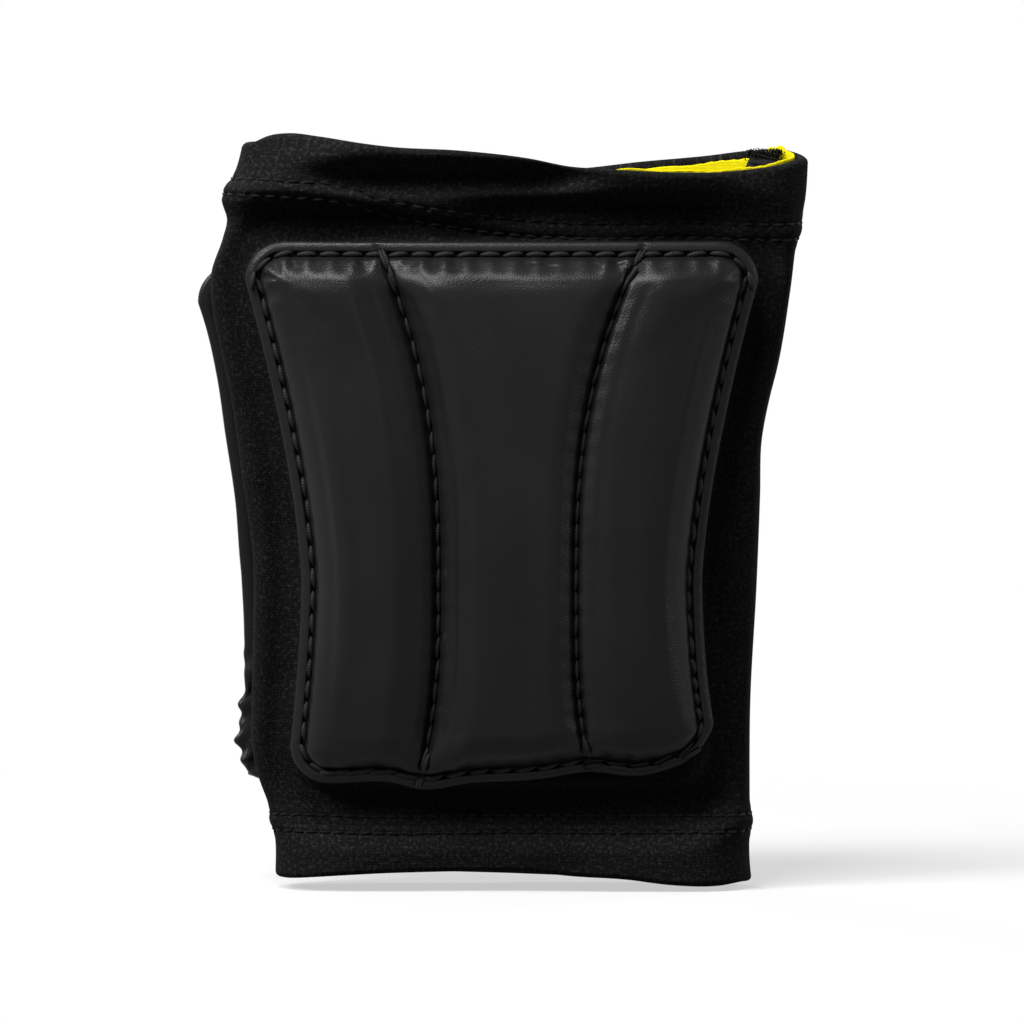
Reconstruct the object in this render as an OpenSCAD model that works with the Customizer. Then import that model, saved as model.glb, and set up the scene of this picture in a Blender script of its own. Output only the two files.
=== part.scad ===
// Pull-on wrist guard: a tapering elastic sleeve with a padded shield on its front and on its back.
// Millimetres. The sleeve stands on its wrist end at z = 0. The forearm end is up (+Z) and the
// front pad faces -Y. The origin is at the middle of the underside of the whole guard's box.

/* [Sleeve] */
// Height of the whole sleeve, with both end bands
sleeve_h = 136; // [110:1:170]
// Flat width at the forearm end
top_w = 104; // [96:1:126]
// Flat width of the sleeve's slim lower half
mid_w = 90; // [80:1:94]
// Flat width at the wrist end
bottom_w = 86; // [76:1:92]
// Free depth inside the sleeve as it stands at rest
inner_gap = 14; // [9:0.5:24]
// Outer radius of the soft folds at the left and right sides
side_r = 7; // [5:0.5:8]
// Height at which the sleeve starts to widen
taper_start = 60; // [50:1:70]
// Height at which the sleeve has reached its full width
taper_end = 112; // [95:1:112]

/* [Laminate] */
// Thickness of the outer knit
knit_t = 0.5; // [0.4:0.1:0.8]
// Thickness of the foam core
core_t = 1.8; // [1.2:0.1:2.5]
// Thickness of the lining
lining_t = 0.5; // [0.4:0.1:0.8]
// Clearance between two layers that are bonded
bond_gap = 0.05; // [0.02:0.01:0.1]

/* [End bands] */
// Height of the forearm end's band
top_band_h = 15; // [11:0.5:22]
// Height of the wrist end's band
bottom_band_h = 13; // [10:0.5:18]
// Distance between the two rows of a coverstitch
row_gauge = 2.8; // [2:0.1:3.5]
// Height of the lining's lower edge above the floor
lining_lift = 0.4; // [0.2:0.1:1]

/* [Side seam] */
// Width of the overlocked seam allowance inside the sleeve
allowance_w = 6.5; // [4:0.5:8]
// Thickness of the seam allowance
allowance_t = 1.8; // [1:0.1:2.4]
// Distance of the seam from the start of the side fold
allowance_inset = 0.6; // [0.4:0.1:2]

/* [Pads] */
// Height of a pad
pad_h = 98; // [86:1:104]
// Height of a pad's lower edge above the floor
pad_z = 18; // [15:0.5:20]
// Width of a pad at its top
pad_top_w = 92; // [84:1:98]
// Width of a pad at its waist
pad_waist_w = 72; // [64:1:78]
// Width of a pad at its bottom
pad_bottom_w = 76; // [70:1:84]
// Height of the waist above the pad's lower edge
waist_h = 37; // [30:1:46]
// Radius of a pad's corners
pad_corner_r = 5.5; // [4:0.5:7]
// Sideways place of the front pad's middle from the sleeve's middle
front_shift = -2; // [-4:0.5:4]
// Sideways place of the back pad's middle from the sleeve's middle
back_shift = -11.5; // [-13:0.5:0]

/* [Pad layers] */
// Thickness of the backing cloth
backing_t = 0.8; // [0.5:0.1:1.2]
// Thickness of the leather cover
cover_t = 0.8; // [0.6:0.1:1.2]
// Height of a channel's edge above the flange
channel_edge_h = 5; // [3:0.5:7]
// Further height of a channel's crown
channel_crown = 3; // [1.5:0.5:4]
// Width of the flat rim outside the channels
flange_w = 3.4; // [3:0.1:5]
// Distance from the pad's edge to the border stitches
stitch_inset = 2.2; // [1.8:0.1:2.6]
// Width of the valley between two channels
valley_w = 2.2; // [2:0.1:3.5]
// Clearance between a foam strip and the cover round it
foam_gap = 0.2; // [0.1:0.05:0.5]

/* [Channel seams] */
// Width of the centre channel at its waist, from seam to seam
seam_waist_w = 25; // [20:0.5:30]
// Width of the centre channel at the top, from seam to seam
seam_top_w = 48; // [40:0.5:54]
// Width of the centre channel at the bottom, from seam to seam
seam_bottom_w = 31; // [27:0.5:38]

/* [Stays] */
// Width of the plastic stay behind the centre foam
stay_w = 14; // [10:0.5:16]
// Length of the stay
stay_l = 84; // [60:1:88]
// Thickness of the stay
stay_t = 1.2; // [0.8:0.1:2]

/* [Thread] */
// Width of a thread line
thread_w = 0.6; // [0.4:0.1:0.8]
// Height of a thread line above the cloth it lies on
thread_h = 0.5; // [0.3:0.1:0.8]

/* [Hidden] */

// Depths of the layers below the sleeve's outer face
core_in = knit_t + bond_gap;
lining_in = core_in + core_t + bond_gap;
wall_t = lining_in + lining_t;
half_depth = inner_gap / 2 + wall_t;

// Ends of the sleeve's main tube between the two bands
tube_z0 = bottom_band_h + bond_gap / 2;
tube_z1 = sleeve_h - top_band_h - bond_gap / 2;
// Straight stretch beside a seam, so that both rows of stitches lie on an even width
seam_flat = row_gauge;
// Height over which the tube narrows to the wrist band
wrist_ramp = 10;
// Rings of the tapering tube, and steps in each of its four round corners
tube_rings = 12;
corner_steps = 5;

// Steps along a pad's curved side and in its corners
side_steps = 14;
pad_corner_steps = 6;
// How sharply the pad's sides and the channel seams flare
side_power = 1.5;
seam_power = 2.6;
// Each crown is part of a cylinder, and this many facets keep it a true one
crown_fn = 96;

// Moves the guard so that its box is centred on the origin
sleeve_reach = top_w / 2 + bond_gap + thread_h;
left_reach = max(sleeve_reach, pad_top_w / 2 - min(back_shift, front_shift));
right_reach = max(sleeve_reach, pad_top_w / 2 + max(back_shift, front_shift));
centre_x = (left_reach - right_reach) / 2;

// Heights inside a pad, counted outwards from the sleeve's face
backing_y0 = bond_gap;
flange_y0 = backing_y0 + backing_t + bond_gap;
flange_y1 = flange_y0 + cover_t;
foam_y0 = backing_y0 + backing_t + bond_gap;
stay_y0 = foam_y0;
centre_foam_y0 = stay_y0 + stay_t + bond_gap;

// Smooth step from 0 to 1 between two heights
function ease(z, a, b) = z <= a ? 0 : z >= b ? 1 : (1 - cos(180 * (z - a) / (b - a))) / 2;

// Half of the sleeve's flat width at height z
function sleeve_half(z) =
  bottom_w / 2
  + (mid_w - bottom_w) / 2 * ease(z, tube_z0 + seam_flat, tube_z0 + seam_flat + wrist_ramp)
  + (top_w - mid_w) / 2 * ease(z, taper_start, min(taper_end, tube_z1 - seam_flat));

// Outline of the flattened sleeve, inset by t from a half width
function sleeve_outline(half_w, t) = [
  for (q = [0 : 3], i = [0 : corner_steps])
    let (
      a = 90 * q + 90 * i / corner_steps,
      sx = q == 0 || q == 3 ? 1 : -1,
      sy = q < 2 ? 1 : -1
    )
    [sx * (half_w - side_r) + (side_r - t) * cos(a), sy * (half_depth - side_r) + (side_r - t) * sin(a)]
];

// One layer of the tapering tube, from depth t_out to depth t_in below the outer face
module tube_layer(t_out, t_in) {
  n = 4 * (corner_steps + 1);
  low = tube_z0 + seam_flat;
  high = tube_z1 - seam_flat;
  heights = concat(
    [tube_z0],
    [for (i = [0 : tube_rings - 3]) low + (high - low) * i / (tube_rings - 3)],
    [tube_z1]
  );
  outer = [for (z = heights, p = sleeve_outline(sleeve_half(z), t_out)) [p[0], p[1], z]];
  inner = [for (z = heights, p = sleeve_outline(sleeve_half(z), t_in)) [p[0], p[1], z]];
  m = len(outer);
  last = (tube_rings - 1) * n;
  walls_out = [for (k = [0 : tube_rings - 2], i = [0 : n - 1])
    [k * n + i, (k + 1) * n + i, (k + 1) * n + (i + 1) % n, k * n + (i + 1) % n]];
  walls_in = [for (f = walls_out) [m + f[3], m + f[2], m + f[1], m + f[0]]];
  rim_low = [for (i = [0 : n - 1]) [i, (i + 1) % n, m + (i + 1) % n, m + i]];
  rim_top = [for (i = [0 : n - 1])
    [last + (i + 1) % n, last + i, m + last + i, m + last + (i + 1) % n]];
  polyhedron(points = concat(outer, inner), faces = concat(walls_out, walls_in, rim_low, rim_top));
}

// A straight ring of the sleeve's outline, between two depths and two heights
module straight_ring(half_w, t_out, t_in, z0, z1) {
  translate([0, 0, z0])
    linear_extrude(z1 - z0)
      difference() {
        polygon(sleeve_outline(half_w, t_out));
        polygon(sleeve_outline(half_w, t_in));
      }
}

// Two rows of coverstitch thread round a seam at height z
module coverstitch(half_w, z) {
  for (s = [-1, 1])
    straight_ring(half_w, -bond_gap - thread_h, -bond_gap,
      z + s * row_gauge / 2 - thread_w / 2, z + s * row_gauge / 2 + thread_w / 2);
}

module sleeve_outer_knit() {
  color("#1b1b1c") tube_layer(0, knit_t);
}

module sleeve_foam_core() {
  color("#2e2e30") tube_layer(core_in, core_in + core_t);
}

module sleeve_lining() {
  color("#d9cf14") tube_layer(lining_in, wall_t);
}

module top_band() {
  color("#242426") straight_ring(top_w / 2, 0, core_in + core_t, tube_z1 + bond_gap, sleeve_h);
}

module top_band_lining() {
  color("#d9cf14") straight_ring(top_w / 2, lining_in, wall_t, tube_z1 + bond_gap, sleeve_h);
}

module bottom_band() {
  color("#242426") straight_ring(bottom_w / 2, 0, core_in + core_t, 0, tube_z0 - bond_gap);
}

module bottom_band_lining() {
  color("#d9cf14") straight_ring(bottom_w / 2, lining_in, wall_t, lining_lift, tube_z0 - bond_gap);
}

module top_seam_stitches() {
  color("#0c0c0c") coverstitch(top_w / 2, sleeve_h - top_band_h);
}

module bottom_seam_stitches() {
  color("#0c0c0c") coverstitch(bottom_w / 2, bottom_band_h);
}

// A strip inside the back wall that follows the right side, from x0 to x1 inward of the seam
module seam_strip(x0, x1) {
  seam_x = side_r + allowance_inset;
  z_low = lining_lift;
  zs = [for (i = [0 : tube_rings]) z_low + (sleeve_h - z_low) * i / tube_rings];
  outline = concat(
    [for (z = zs) [sleeve_half(z) - seam_x - x1, z]],
    [for (i = [tube_rings : -1 : 0]) [sleeve_half(zs[i]) - seam_x - x0, zs[i]]]
  );
  translate([0, half_depth - wall_t - bond_gap, 0])
    rotate([90, 0, 0])
      linear_extrude(allowance_t)
        polygon(outline);
}

module side_seam_allowance() {
  color("#161616") seam_strip(0, allowance_w - thread_w - bond_gap);
}

module side_seam_overlock() {
  color("#0c0c0c") seam_strip(allowance_w - thread_w, allowance_w);
}

// Half of the pad's width at height h above its lower edge
function pad_half(h) =
  pad_waist_w / 2
  + (h > waist_h
    ? (pad_top_w - pad_waist_w) / 2 * pow((h - waist_h) / (pad_h - pad_corner_r - waist_h), side_power)
    : (pad_bottom_w - pad_waist_w) / 2 * pow((waist_h - h) / (waist_h - pad_corner_r), side_power));

// Half of the centre channel's width, from seam to seam, at height h
function seam_half(h) =
  seam_waist_w / 2
  + (h > waist_h
    ? (seam_top_w - seam_waist_w) / 2 * pow((h - waist_h) / (pad_h - waist_h), seam_power)
    : (seam_bottom_w - seam_waist_w) / 2 * pow((waist_h - h) / waist_h, seam_power));

// Right side of the pad from its lower edge to its top, inset by t, with round corners
function pad_side(t) =
  let (
    r = pad_corner_r - t / 2,
    low = t + r,
    high = pad_h - t - r
  )
  concat(
    [for (i = [0 : pad_corner_steps - 1])
      let (a = -90 + 90 * i / pad_corner_steps) [pad_half(low) - t - r + r * cos(a), low + r * sin(a)]],
    [for (i = [0 : side_steps])
      let (h = low + (high - low) * i / side_steps) [pad_half(h) - t, h]],
    [for (i = [1 : pad_corner_steps])
      let (a = 90 * i / pad_corner_steps) [pad_half(high) - t - r + r * cos(a), high + r * sin(a)]]
  );

// Whole outline of the pad, inset by t
function pad_outline(t) = let (side = pad_side(t), n = len(side)) concat(
  side,
  [for (i = [n - 1 : -1 : 0]) [-side[i][0], side[i][1]]]
);

// Outline of the centre channel, t inside its seams and the flange
function centre_outline(t) =
  let (
    low = flange_w + t,
    high = pad_h - flange_w - t,
    half = [for (i = [0 : side_steps])
      let (h = low + (high - low) * i / side_steps) [seam_half(h) - valley_w / 2 - t, h]]
  )
  concat(half, [for (i = [side_steps : -1 : 0]) [-half[i][0], half[i][1]]]);

// Outline of the right-hand channel, t inside its seam and the flange
function right_outline(t) =
  let (
    side = pad_side(flange_w + t),
    low = side[0][1],
    high = side[len(side) - 1][1],
    seam = [for (i = [side_steps : -1 : 0])
      let (h = low + (high - low) * i / side_steps) [seam_half(h) + valley_w / 2 + t, h]]
  )
  concat(side, seam);

// A channel's outline raised from y0 to its crowned top, with the crown lowered by t.
// The crown is a cylinder along the pad, middled on the channel at mid_x and span wide.
module crowned(outline, mid_x, span, y0, t) {
  top = flange_y1 + channel_edge_h + channel_crown - t;
  crown_r = (span * span / 4 + channel_crown * channel_crown) / (2 * channel_crown);
  intersection() {
    translate([0, 0, y0])
      linear_extrude(top - y0 + 1)
        polygon(outline);
    translate([mid_x, pad_h / 2, top - crown_r])
      rotate([90, 0, 0])
        cylinder(h = 2 * pad_h, r = crown_r, center = true, $fn = crown_fn);
  }
}

// Middle and width of the right-hand channel, over which its crown is struck
side_mid = (seam_waist_w / 2 + pad_top_w / 2) / 2;
side_span = pad_top_w / 2 - seam_waist_w / 2;

module centre_channel(t, y0) {
  crowned(centre_outline(t), 0, seam_top_w, y0, t);
}

module right_channel(t, y0) {
  crowned(right_outline(t), side_mid, side_span, y0, t);
}

// Leather cover: a flat flange with three crowned channels, hollow from behind
module cover() {
  difference() {
    union() {
      translate([0, 0, flange_y0])
        linear_extrude(cover_t)
          polygon(pad_outline(0));
      centre_channel(0, flange_y0);
      right_channel(0, flange_y0);
      mirror([1, 0, 0]) right_channel(0, flange_y0);
    }
    centre_channel(cover_t, flange_y0 - 1);
    right_channel(cover_t, flange_y0 - 1);
    mirror([1, 0, 0]) right_channel(cover_t, flange_y0 - 1);
  }
}

module backing() {
  translate([0, 0, backing_y0])
    linear_extrude(backing_t)
      polygon(pad_outline(foam_gap));
}

module centre_foam() {
  centre_channel(cover_t + foam_gap, centre_foam_y0);
}

module right_foam() {
  right_channel(cover_t + foam_gap, foam_y0);
}

// Plastic splint with round ends, flat on the backing
module stay() {
  translate([0, pad_h / 2, stay_y0])
    linear_extrude(stay_t)
      union() {
        square([stay_w, stay_l - stay_w], center = true);
        for (s = [-1, 1])
          translate([0, s * (stay_l - stay_w) / 2])
            circle(d = stay_w, $fn = 48);
      }
}

module border_stitches() {
  translate([0, 0, flange_y1 + bond_gap])
    linear_extrude(thread_h)
      difference() {
        polygon(pad_outline(stitch_inset - thread_w / 2));
        polygon(pad_outline(stitch_inset + thread_w / 2));
      }
}

module channel_stitches() {
  low = stitch_inset + thread_w;
  high = pad_h - stitch_inset - thread_w;
  hs = [for (i = [0 : side_steps]) low + (high - low) * i / side_steps];
  line = concat(
    [for (h = hs) [seam_half(h) + thread_w / 2, h]],
    [for (i = [side_steps : -1 : 0]) [seam_half(hs[i]) - thread_w / 2, hs[i]]]
  );
  for (s = [0, 1])
    mirror([s, 0, 0])
      translate([0, 0, flange_y1 + bond_gap])
        linear_extrude(thread_h)
          polygon(line);
}

// Stands a pad's piece up on the sleeve's front wall
module on_front() {
  translate([centre_x + front_shift, -half_depth, pad_z]) rotate([90, 0, 0]) children();
}

// Stands a pad's piece up on the sleeve's back wall
module on_back() {
  translate([centre_x + back_shift, half_depth, pad_z]) mirror([0, 1, 0]) rotate([90, 0, 0]) children();
}

// Puts a sleeve's piece in its place
module on_sleeve() {
  translate([centre_x, 0, 0]) children();
}

module front_pad_cover() { on_front() color("#2a2a2c") cover(); }
module front_pad_backing() { on_front() color("#1f1f20") backing(); }
module front_pad_foam_left() { on_front() color("#8d8d90") mirror([1, 0, 0]) right_foam(); }
module front_pad_foam_centre() { on_front() color("#8d8d90") centre_foam(); }
module front_pad_foam_right() { on_front() color("#8d8d90") right_foam(); }
module front_pad_stay() { on_front() color("#d8d8d8") stay(); }
module front_pad_border_stitches() { on_front() color("#0c0c0c") border_stitches(); }
module front_pad_channel_stitches() { on_front() color("#0c0c0c") channel_stitches(); }

module back_pad_cover() { on_back() color("#2a2a2c") cover(); }
module back_pad_backing() { on_back() color("#1f1f20") backing(); }
module back_pad_foam_left() { on_back() color("#8d8d90") mirror([1, 0, 0]) right_foam(); }
module back_pad_foam_centre() { on_back() color("#8d8d90") centre_foam(); }
module back_pad_foam_right() { on_back() color("#8d8d90") right_foam(); }
module back_pad_stay() { on_back() color("#d8d8d8") stay(); }
module back_pad_border_stitches() { on_back() color("#0c0c0c") border_stitches(); }
module back_pad_channel_stitches() { on_back() color("#0c0c0c") channel_stitches(); }

on_sleeve() sleeve_outer_knit();
on_sleeve() sleeve_foam_core();
on_sleeve() sleeve_lining();
on_sleeve() top_band();
on_sleeve() top_band_lining();
on_sleeve() bottom_band();
on_sleeve() bottom_band_lining();
on_sleeve() top_seam_stitches();
on_sleeve() bottom_seam_stitches();
on_sleeve() side_seam_allowance();
on_sleeve() side_seam_overlock();
front_pad_cover();
front_pad_backing();
front_pad_foam_left();
front_pad_foam_centre();
front_pad_foam_right();
front_pad_stay();
front_pad_border_stitches();
front_pad_channel_stitches();
back_pad_cover();
back_pad_backing();
back_pad_foam_left();
back_pad_foam_centre();
back_pad_foam_right();
back_pad_stay();
back_pad_border_stitches();
back_pad_channel_stitches();
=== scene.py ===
"""Looks of a pull-on padded wrist guard: an elastic knit sleeve with a yellow lining,
and a channelled leather pad sewn on its front and on its back."""

import math

import bpy
import numpy as np
from mathutils.bvhtree import BVHTree
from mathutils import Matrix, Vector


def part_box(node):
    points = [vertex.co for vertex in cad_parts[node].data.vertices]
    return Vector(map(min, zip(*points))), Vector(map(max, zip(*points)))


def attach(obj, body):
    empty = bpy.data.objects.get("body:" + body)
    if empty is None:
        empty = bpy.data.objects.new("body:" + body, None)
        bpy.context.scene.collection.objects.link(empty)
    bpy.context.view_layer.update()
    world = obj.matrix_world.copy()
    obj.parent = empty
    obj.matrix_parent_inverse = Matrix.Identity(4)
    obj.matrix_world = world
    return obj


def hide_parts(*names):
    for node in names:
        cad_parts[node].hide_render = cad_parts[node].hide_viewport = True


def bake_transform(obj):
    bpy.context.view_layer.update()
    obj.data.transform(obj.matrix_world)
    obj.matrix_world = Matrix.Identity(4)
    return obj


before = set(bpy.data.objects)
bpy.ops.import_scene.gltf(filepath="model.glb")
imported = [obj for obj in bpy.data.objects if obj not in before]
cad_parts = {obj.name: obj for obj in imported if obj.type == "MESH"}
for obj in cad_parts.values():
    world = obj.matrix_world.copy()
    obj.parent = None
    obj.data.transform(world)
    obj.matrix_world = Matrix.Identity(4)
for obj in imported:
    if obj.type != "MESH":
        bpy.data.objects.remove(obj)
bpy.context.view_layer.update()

MM = 0.001
LAYER_GAP = 0.05       # left between two layers of the sleeve, in millimetres
ROOT = "sleeve_and_back_pad"
FRONT = "front_pad"


def cad_box(node):
    """Lowest and highest corner of a CAD node, in millimetres."""
    low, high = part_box(node)
    return np.array(low) / MM, np.array(high) / MM


# ---------------------------------------------------------------- sizes from the frame
KNIT_LOW, KNIT_HIGH = cad_box("sleeve_outer_knit")
MID_X = (KNIT_LOW[0] + KNIT_HIGH[0]) / 2
HALF_DEPTH = KNIT_HIGH[1]
KNIT_T = 0.5           # thickness of the outer knit
# Depths below the sleeve's outer face: of the foam core, of the lining, and of the whole wall
CORE_IN = HALF_DEPTH - cad_box("sleeve_foam_core")[1][1]
LINING_IN = HALF_DEPTH - cad_box("sleeve_lining")[1][1]
WALL = HALF_DEPTH - cad_box("side_seam_allowance")[1][1] - LAYER_GAP
PAD_LOW, PAD_HIGH = cad_box("front_pad_cover")
# The pad's foot and height are those of its flat outline, before it bends round the wrist
PAD_Z = PAD_LOW[2] + 0.6
PAD_H = PAD_HIGH[2] + 0.4 - PAD_Z
PAD_THICK = -HALF_DEPTH - PAD_LOW[1]
FRONT_PAD_X = (PAD_LOW[0] + PAD_HIGH[0]) / 2
BACK_PAD_X = sum(b[0] for b in cad_box("back_pad_cover")) / 2

# ---------------------------------------------------------------- sewing sizes, in millimetres
BOND = 0.06            # gap between two bonded layers
LIP_T = 1.9            # thickness of the pad's turned edge
GROOVE_T = 1.05        # thickness left under a sewn line
BORDER_INSET = 1.9     # border stitches, in from the pad's edge
PAD_STITCH = 4.1       # one stitch of the pads, hole to hole
PAD_THREAD = 1.15      # thickness of the pads' heavy thread
HEM_STITCH = 2.75      # one stitch of the end bands
HEM_THREAD = 0.60      # thickness of the bands' thread
ROW_GAUGE = 2.8        # between the two rows of a coverstitch
ALLOWANCE_W = 7.8      # overlocked seam inside the sleeve
ALLOWANCE_T = 1.8
VALLEY = 4.8           # how far the cloth falls back beside a pad
RIM_TURN = 1.3         # bare edge above the lining at the forearm end


# ---------------------------------------------------------------- small shape helpers
def smooth(x, a, b):
    """Smooth step from 0 at a to 1 at b."""
    t = np.clip((np.asarray(x, float) - a) / (b - a), 0, 1)
    return t * t * (3 - 2 * t)


def bump(x, middle, width):
    """A soft hill of height 1, width wide at about a third of its height."""
    return np.exp(-(((np.asarray(x, float) - middle) / width) ** 2))


def unit(vectors):
    """Vectors brought to length 1."""
    return vectors / np.maximum(np.linalg.norm(vectors, axis=-1, keepdims=True), 1e-9)


def drawn_in(count, share):
    """Shares from 0 to 1 that close up near both ends, the more the larger the given share is."""
    t = np.linspace(0, 1, count)
    return t - share * np.sin(2 * math.pi * t) / (2 * math.pi)


def curve_through(points):
    """A smooth function through a few (position, value) points."""
    px = np.array([p[0] for p in points], float)
    pv = np.array([p[1] for p in points], float)
    slope = np.gradient(pv, px)

    def value(x):
        x = np.clip(np.asarray(x, float), px[0], px[-1])
        i = np.clip(np.searchsorted(px, x) - 1, 0, len(px) - 2)
        h = px[i + 1] - px[i]
        t = (x - px[i]) / h
        return (
            (2 * t**3 - 3 * t**2 + 1) * pv[i]
            + (t**3 - 2 * t**2 + t) * h * slope[i]
            + (3 * t**2 - 2 * t**3) * pv[i + 1]
            + (t**3 - t**2) * h * slope[i + 1]
        )

    return value


class Ripple:
    """Smooth seeded noise from a few plane waves, about 1 high, over lengths near `size` mm."""

    def __init__(self, seed, size, waves=7):
        rng = np.random.default_rng(seed)
        angle = rng.uniform(0, 2 * math.pi, waves)
        number = 2 * math.pi / (size * rng.uniform(0.7, 1.6, waves))
        self.kx, self.ky = number * np.cos(angle), number * np.sin(angle)
        self.phase = rng.uniform(0, 2 * math.pi, waves)

    def __call__(self, x, y):
        x, y = np.asarray(x, float), np.asarray(y, float)
        total = sum(
            np.sin(kx * x + ky * y + ph) for kx, ky, ph in zip(self.kx, self.ky, self.phase)
        )
        return total / math.sqrt(len(self.kx))


def new_object(name, data):
    """A new object in the scene, at the origin."""
    obj = bpy.data.objects.new(name, data)
    bpy.context.scene.collection.objects.link(obj)
    return obj


def make_mesh(name, points, faces, uv=None):
    """A smooth mesh object from points in millimetres and faces, with a UV for each corner."""
    mesh = bpy.data.meshes.new(name)
    mesh.from_pydata((np.asarray(points) * MM).tolist(), [], [list(map(int, f)) for f in faces])
    if uv is not None:
        layer = mesh.uv_layers.new(name="cloth")
        layer.data.foreach_set("uv", np.asarray(uv, np.float32).ravel())
    mesh.polygons.foreach_set("use_smooth", [True] * len(mesh.polygons))
    mesh.update()
    return new_object(name, mesh)


def grid_faces(rows, cols, wrap_rows, wrap_cols):
    """Quads of a grid of rows by cols points, each (r, c), (r, c+1), (r+1, c+1), (r+1, c)."""
    r = np.arange(rows if wrap_rows else rows - 1)
    c = np.arange(cols if wrap_cols else cols - 1)
    rr, cc = np.meshgrid(r, c, indexing="ij")
    r1, c1 = (rr + 1) % rows, (cc + 1) % cols
    return np.stack([rr * cols + cc, rr * cols + c1, r1 * cols + c1, r1 * cols + cc], -1).reshape(-1, 4)


# ---------------------------------------------------------------- pad outline
LIP_OUT = 0.6          # how far the turned edge rounds out past the pad's grid
PAD_TOP_HALF, PAD_WAIST_HALF, PAD_FOOT_HALF = 46.0 - LIP_OUT, 36.0 - LIP_OUT, 38.0 - LIP_OUT
PAD_WAIST_H, PAD_CORNER = 37.0, 6.5
# Each channel seam: its distance from the pad's middle at the waist, the top and the foot
SEAMS = {-1: (11.3, 22.4, 15.2), 1: (13.2, 25.4, 15.6)}


def pad_half(h):
    """Half of the pad's width at height h above its foot, before its corners are rounded."""
    h = np.asarray(h, float)
    up = np.clip((h - PAD_WAIST_H) / (PAD_H - PAD_CORNER - PAD_WAIST_H), 0, None) ** 1.5
    down = np.clip((PAD_WAIST_H - h) / (PAD_WAIST_H - PAD_CORNER), 0, None) ** 1.5
    return PAD_WAIST_HALF + (PAD_TOP_HALF - PAD_WAIST_HALF) * up + (PAD_FOOT_HALF - PAD_WAIST_HALF) * down


def pad_edge(h):
    """Half of the pad's width at height h, with round corners."""
    h = np.asarray(h, float)
    near = np.clip(np.minimum(h, PAD_H - h), 0, PAD_CORNER)
    held = np.where(h < PAD_H / 2, np.maximum(h, PAD_CORNER), np.minimum(h, PAD_H - PAD_CORNER))
    return pad_half(held) - PAD_CORNER + np.sqrt(PAD_CORNER**2 - (PAD_CORNER - near) ** 2)


def seam_x(h, side):
    """Signed distance of a channel seam from the pad's middle at height h."""
    waist, top, foot = SEAMS[side]
    h = np.asarray(h, float)
    up = np.clip((h - PAD_WAIST_H) / (PAD_H - PAD_WAIST_H), 0, None) ** 2.6
    down = np.clip((PAD_WAIST_H - h) / PAD_WAIST_H, 0, None) ** 2.8
    return side * (waist + (top - waist) * up + (foot - waist) * down)


def outward_of(loop):
    """Unit normals of a closed loop of (x, h) points that runs anticlockwise."""
    step = np.roll(loop, -1, 0) - np.roll(loop, 1, 0)
    return unit(np.stack([step[:, 1], -step[:, 0]], 1))


def pad_loop(inset, count):
    """Evenly spaced points round the pad, inset from its edge, from the foot's middle to the right."""
    t = (1 - np.cos(np.linspace(0, math.pi, 700))) / 2
    h = t * PAD_H
    right = np.stack([pad_edge(h), h], 1)
    foot = np.stack([np.linspace(0, right[0][0], 60, endpoint=False), np.zeros(60)], 1)
    top = np.stack([np.linspace(right[-1][0], 0, 60)[1:], np.full(59, PAD_H)], 1)
    half = np.concatenate([foot, right, top])
    loop = np.concatenate([half, half[::-1][1:-1] * [-1, 1]])
    for _ in range(2):
        loop = loop - outward_of(loop) * inset / 2
    closed = np.concatenate([loop, loop[:1]])
    length = np.concatenate([[0], np.cumsum(np.linalg.norm(np.diff(closed, axis=0), axis=1))])
    at = np.linspace(0, length[-1], count, endpoint=False)
    return np.stack([np.interp(at, length, closed[:, k]) for k in (0, 1)], 1), length[-1]


EDGE_STEP = 0.6        # spacing of the points at which distances to the pad's edge are worked out


class EdgeMap:
    """Signed distance to the pad's edge, negative inside, looked up from a grid of such points."""

    def __init__(self):
        self.x = np.arange(-66, 66.01, EDGE_STEP)
        self.h = np.arange(-22, PAD_H + 24.01, EDGE_STEP)
        gx, gh = np.meshgrid(self.x, self.h)
        loop, _ = pad_loop(0, 700)
        nearest = np.full(gx.shape, 1e9)
        for part in np.array_split(loop, 28):
            d = (gx[..., None] - part[:, 0]) ** 2 + (gh[..., None] - part[:, 1]) ** 2
            nearest = np.minimum(nearest, d.min(-1))
        inside = (gh > 0) & (gh < PAD_H) & (np.abs(gx) < pad_edge(np.clip(gh, 0, PAD_H)))
        self.d = np.where(inside, -1, 1) * np.sqrt(nearest)

    def __call__(self, x, h):
        fx = np.clip((np.asarray(x, float) - self.x[0]) / EDGE_STEP, 0, len(self.x) - 1.001)
        fh = np.clip((np.asarray(h, float) - self.h[0]) / EDGE_STEP, 0, len(self.h) - 1.001)
        i, j = fx.astype(int), fh.astype(int)
        u, v = fx - i, fh - j
        d = self.d
        return (
            (d[j, i] * (1 - u) + d[j, i + 1] * u) * (1 - v)
            + (d[j + 1, i] * (1 - u) + d[j + 1, i + 1] * u) * v
        )


edge_distance = EdgeMap()


def pad_lean(x):
    """How far a pad's back curves in towards the wrist, away from its middle."""
    return 2.8 * (np.asarray(x, float) / PAD_TOP_HALF) ** 2


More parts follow.
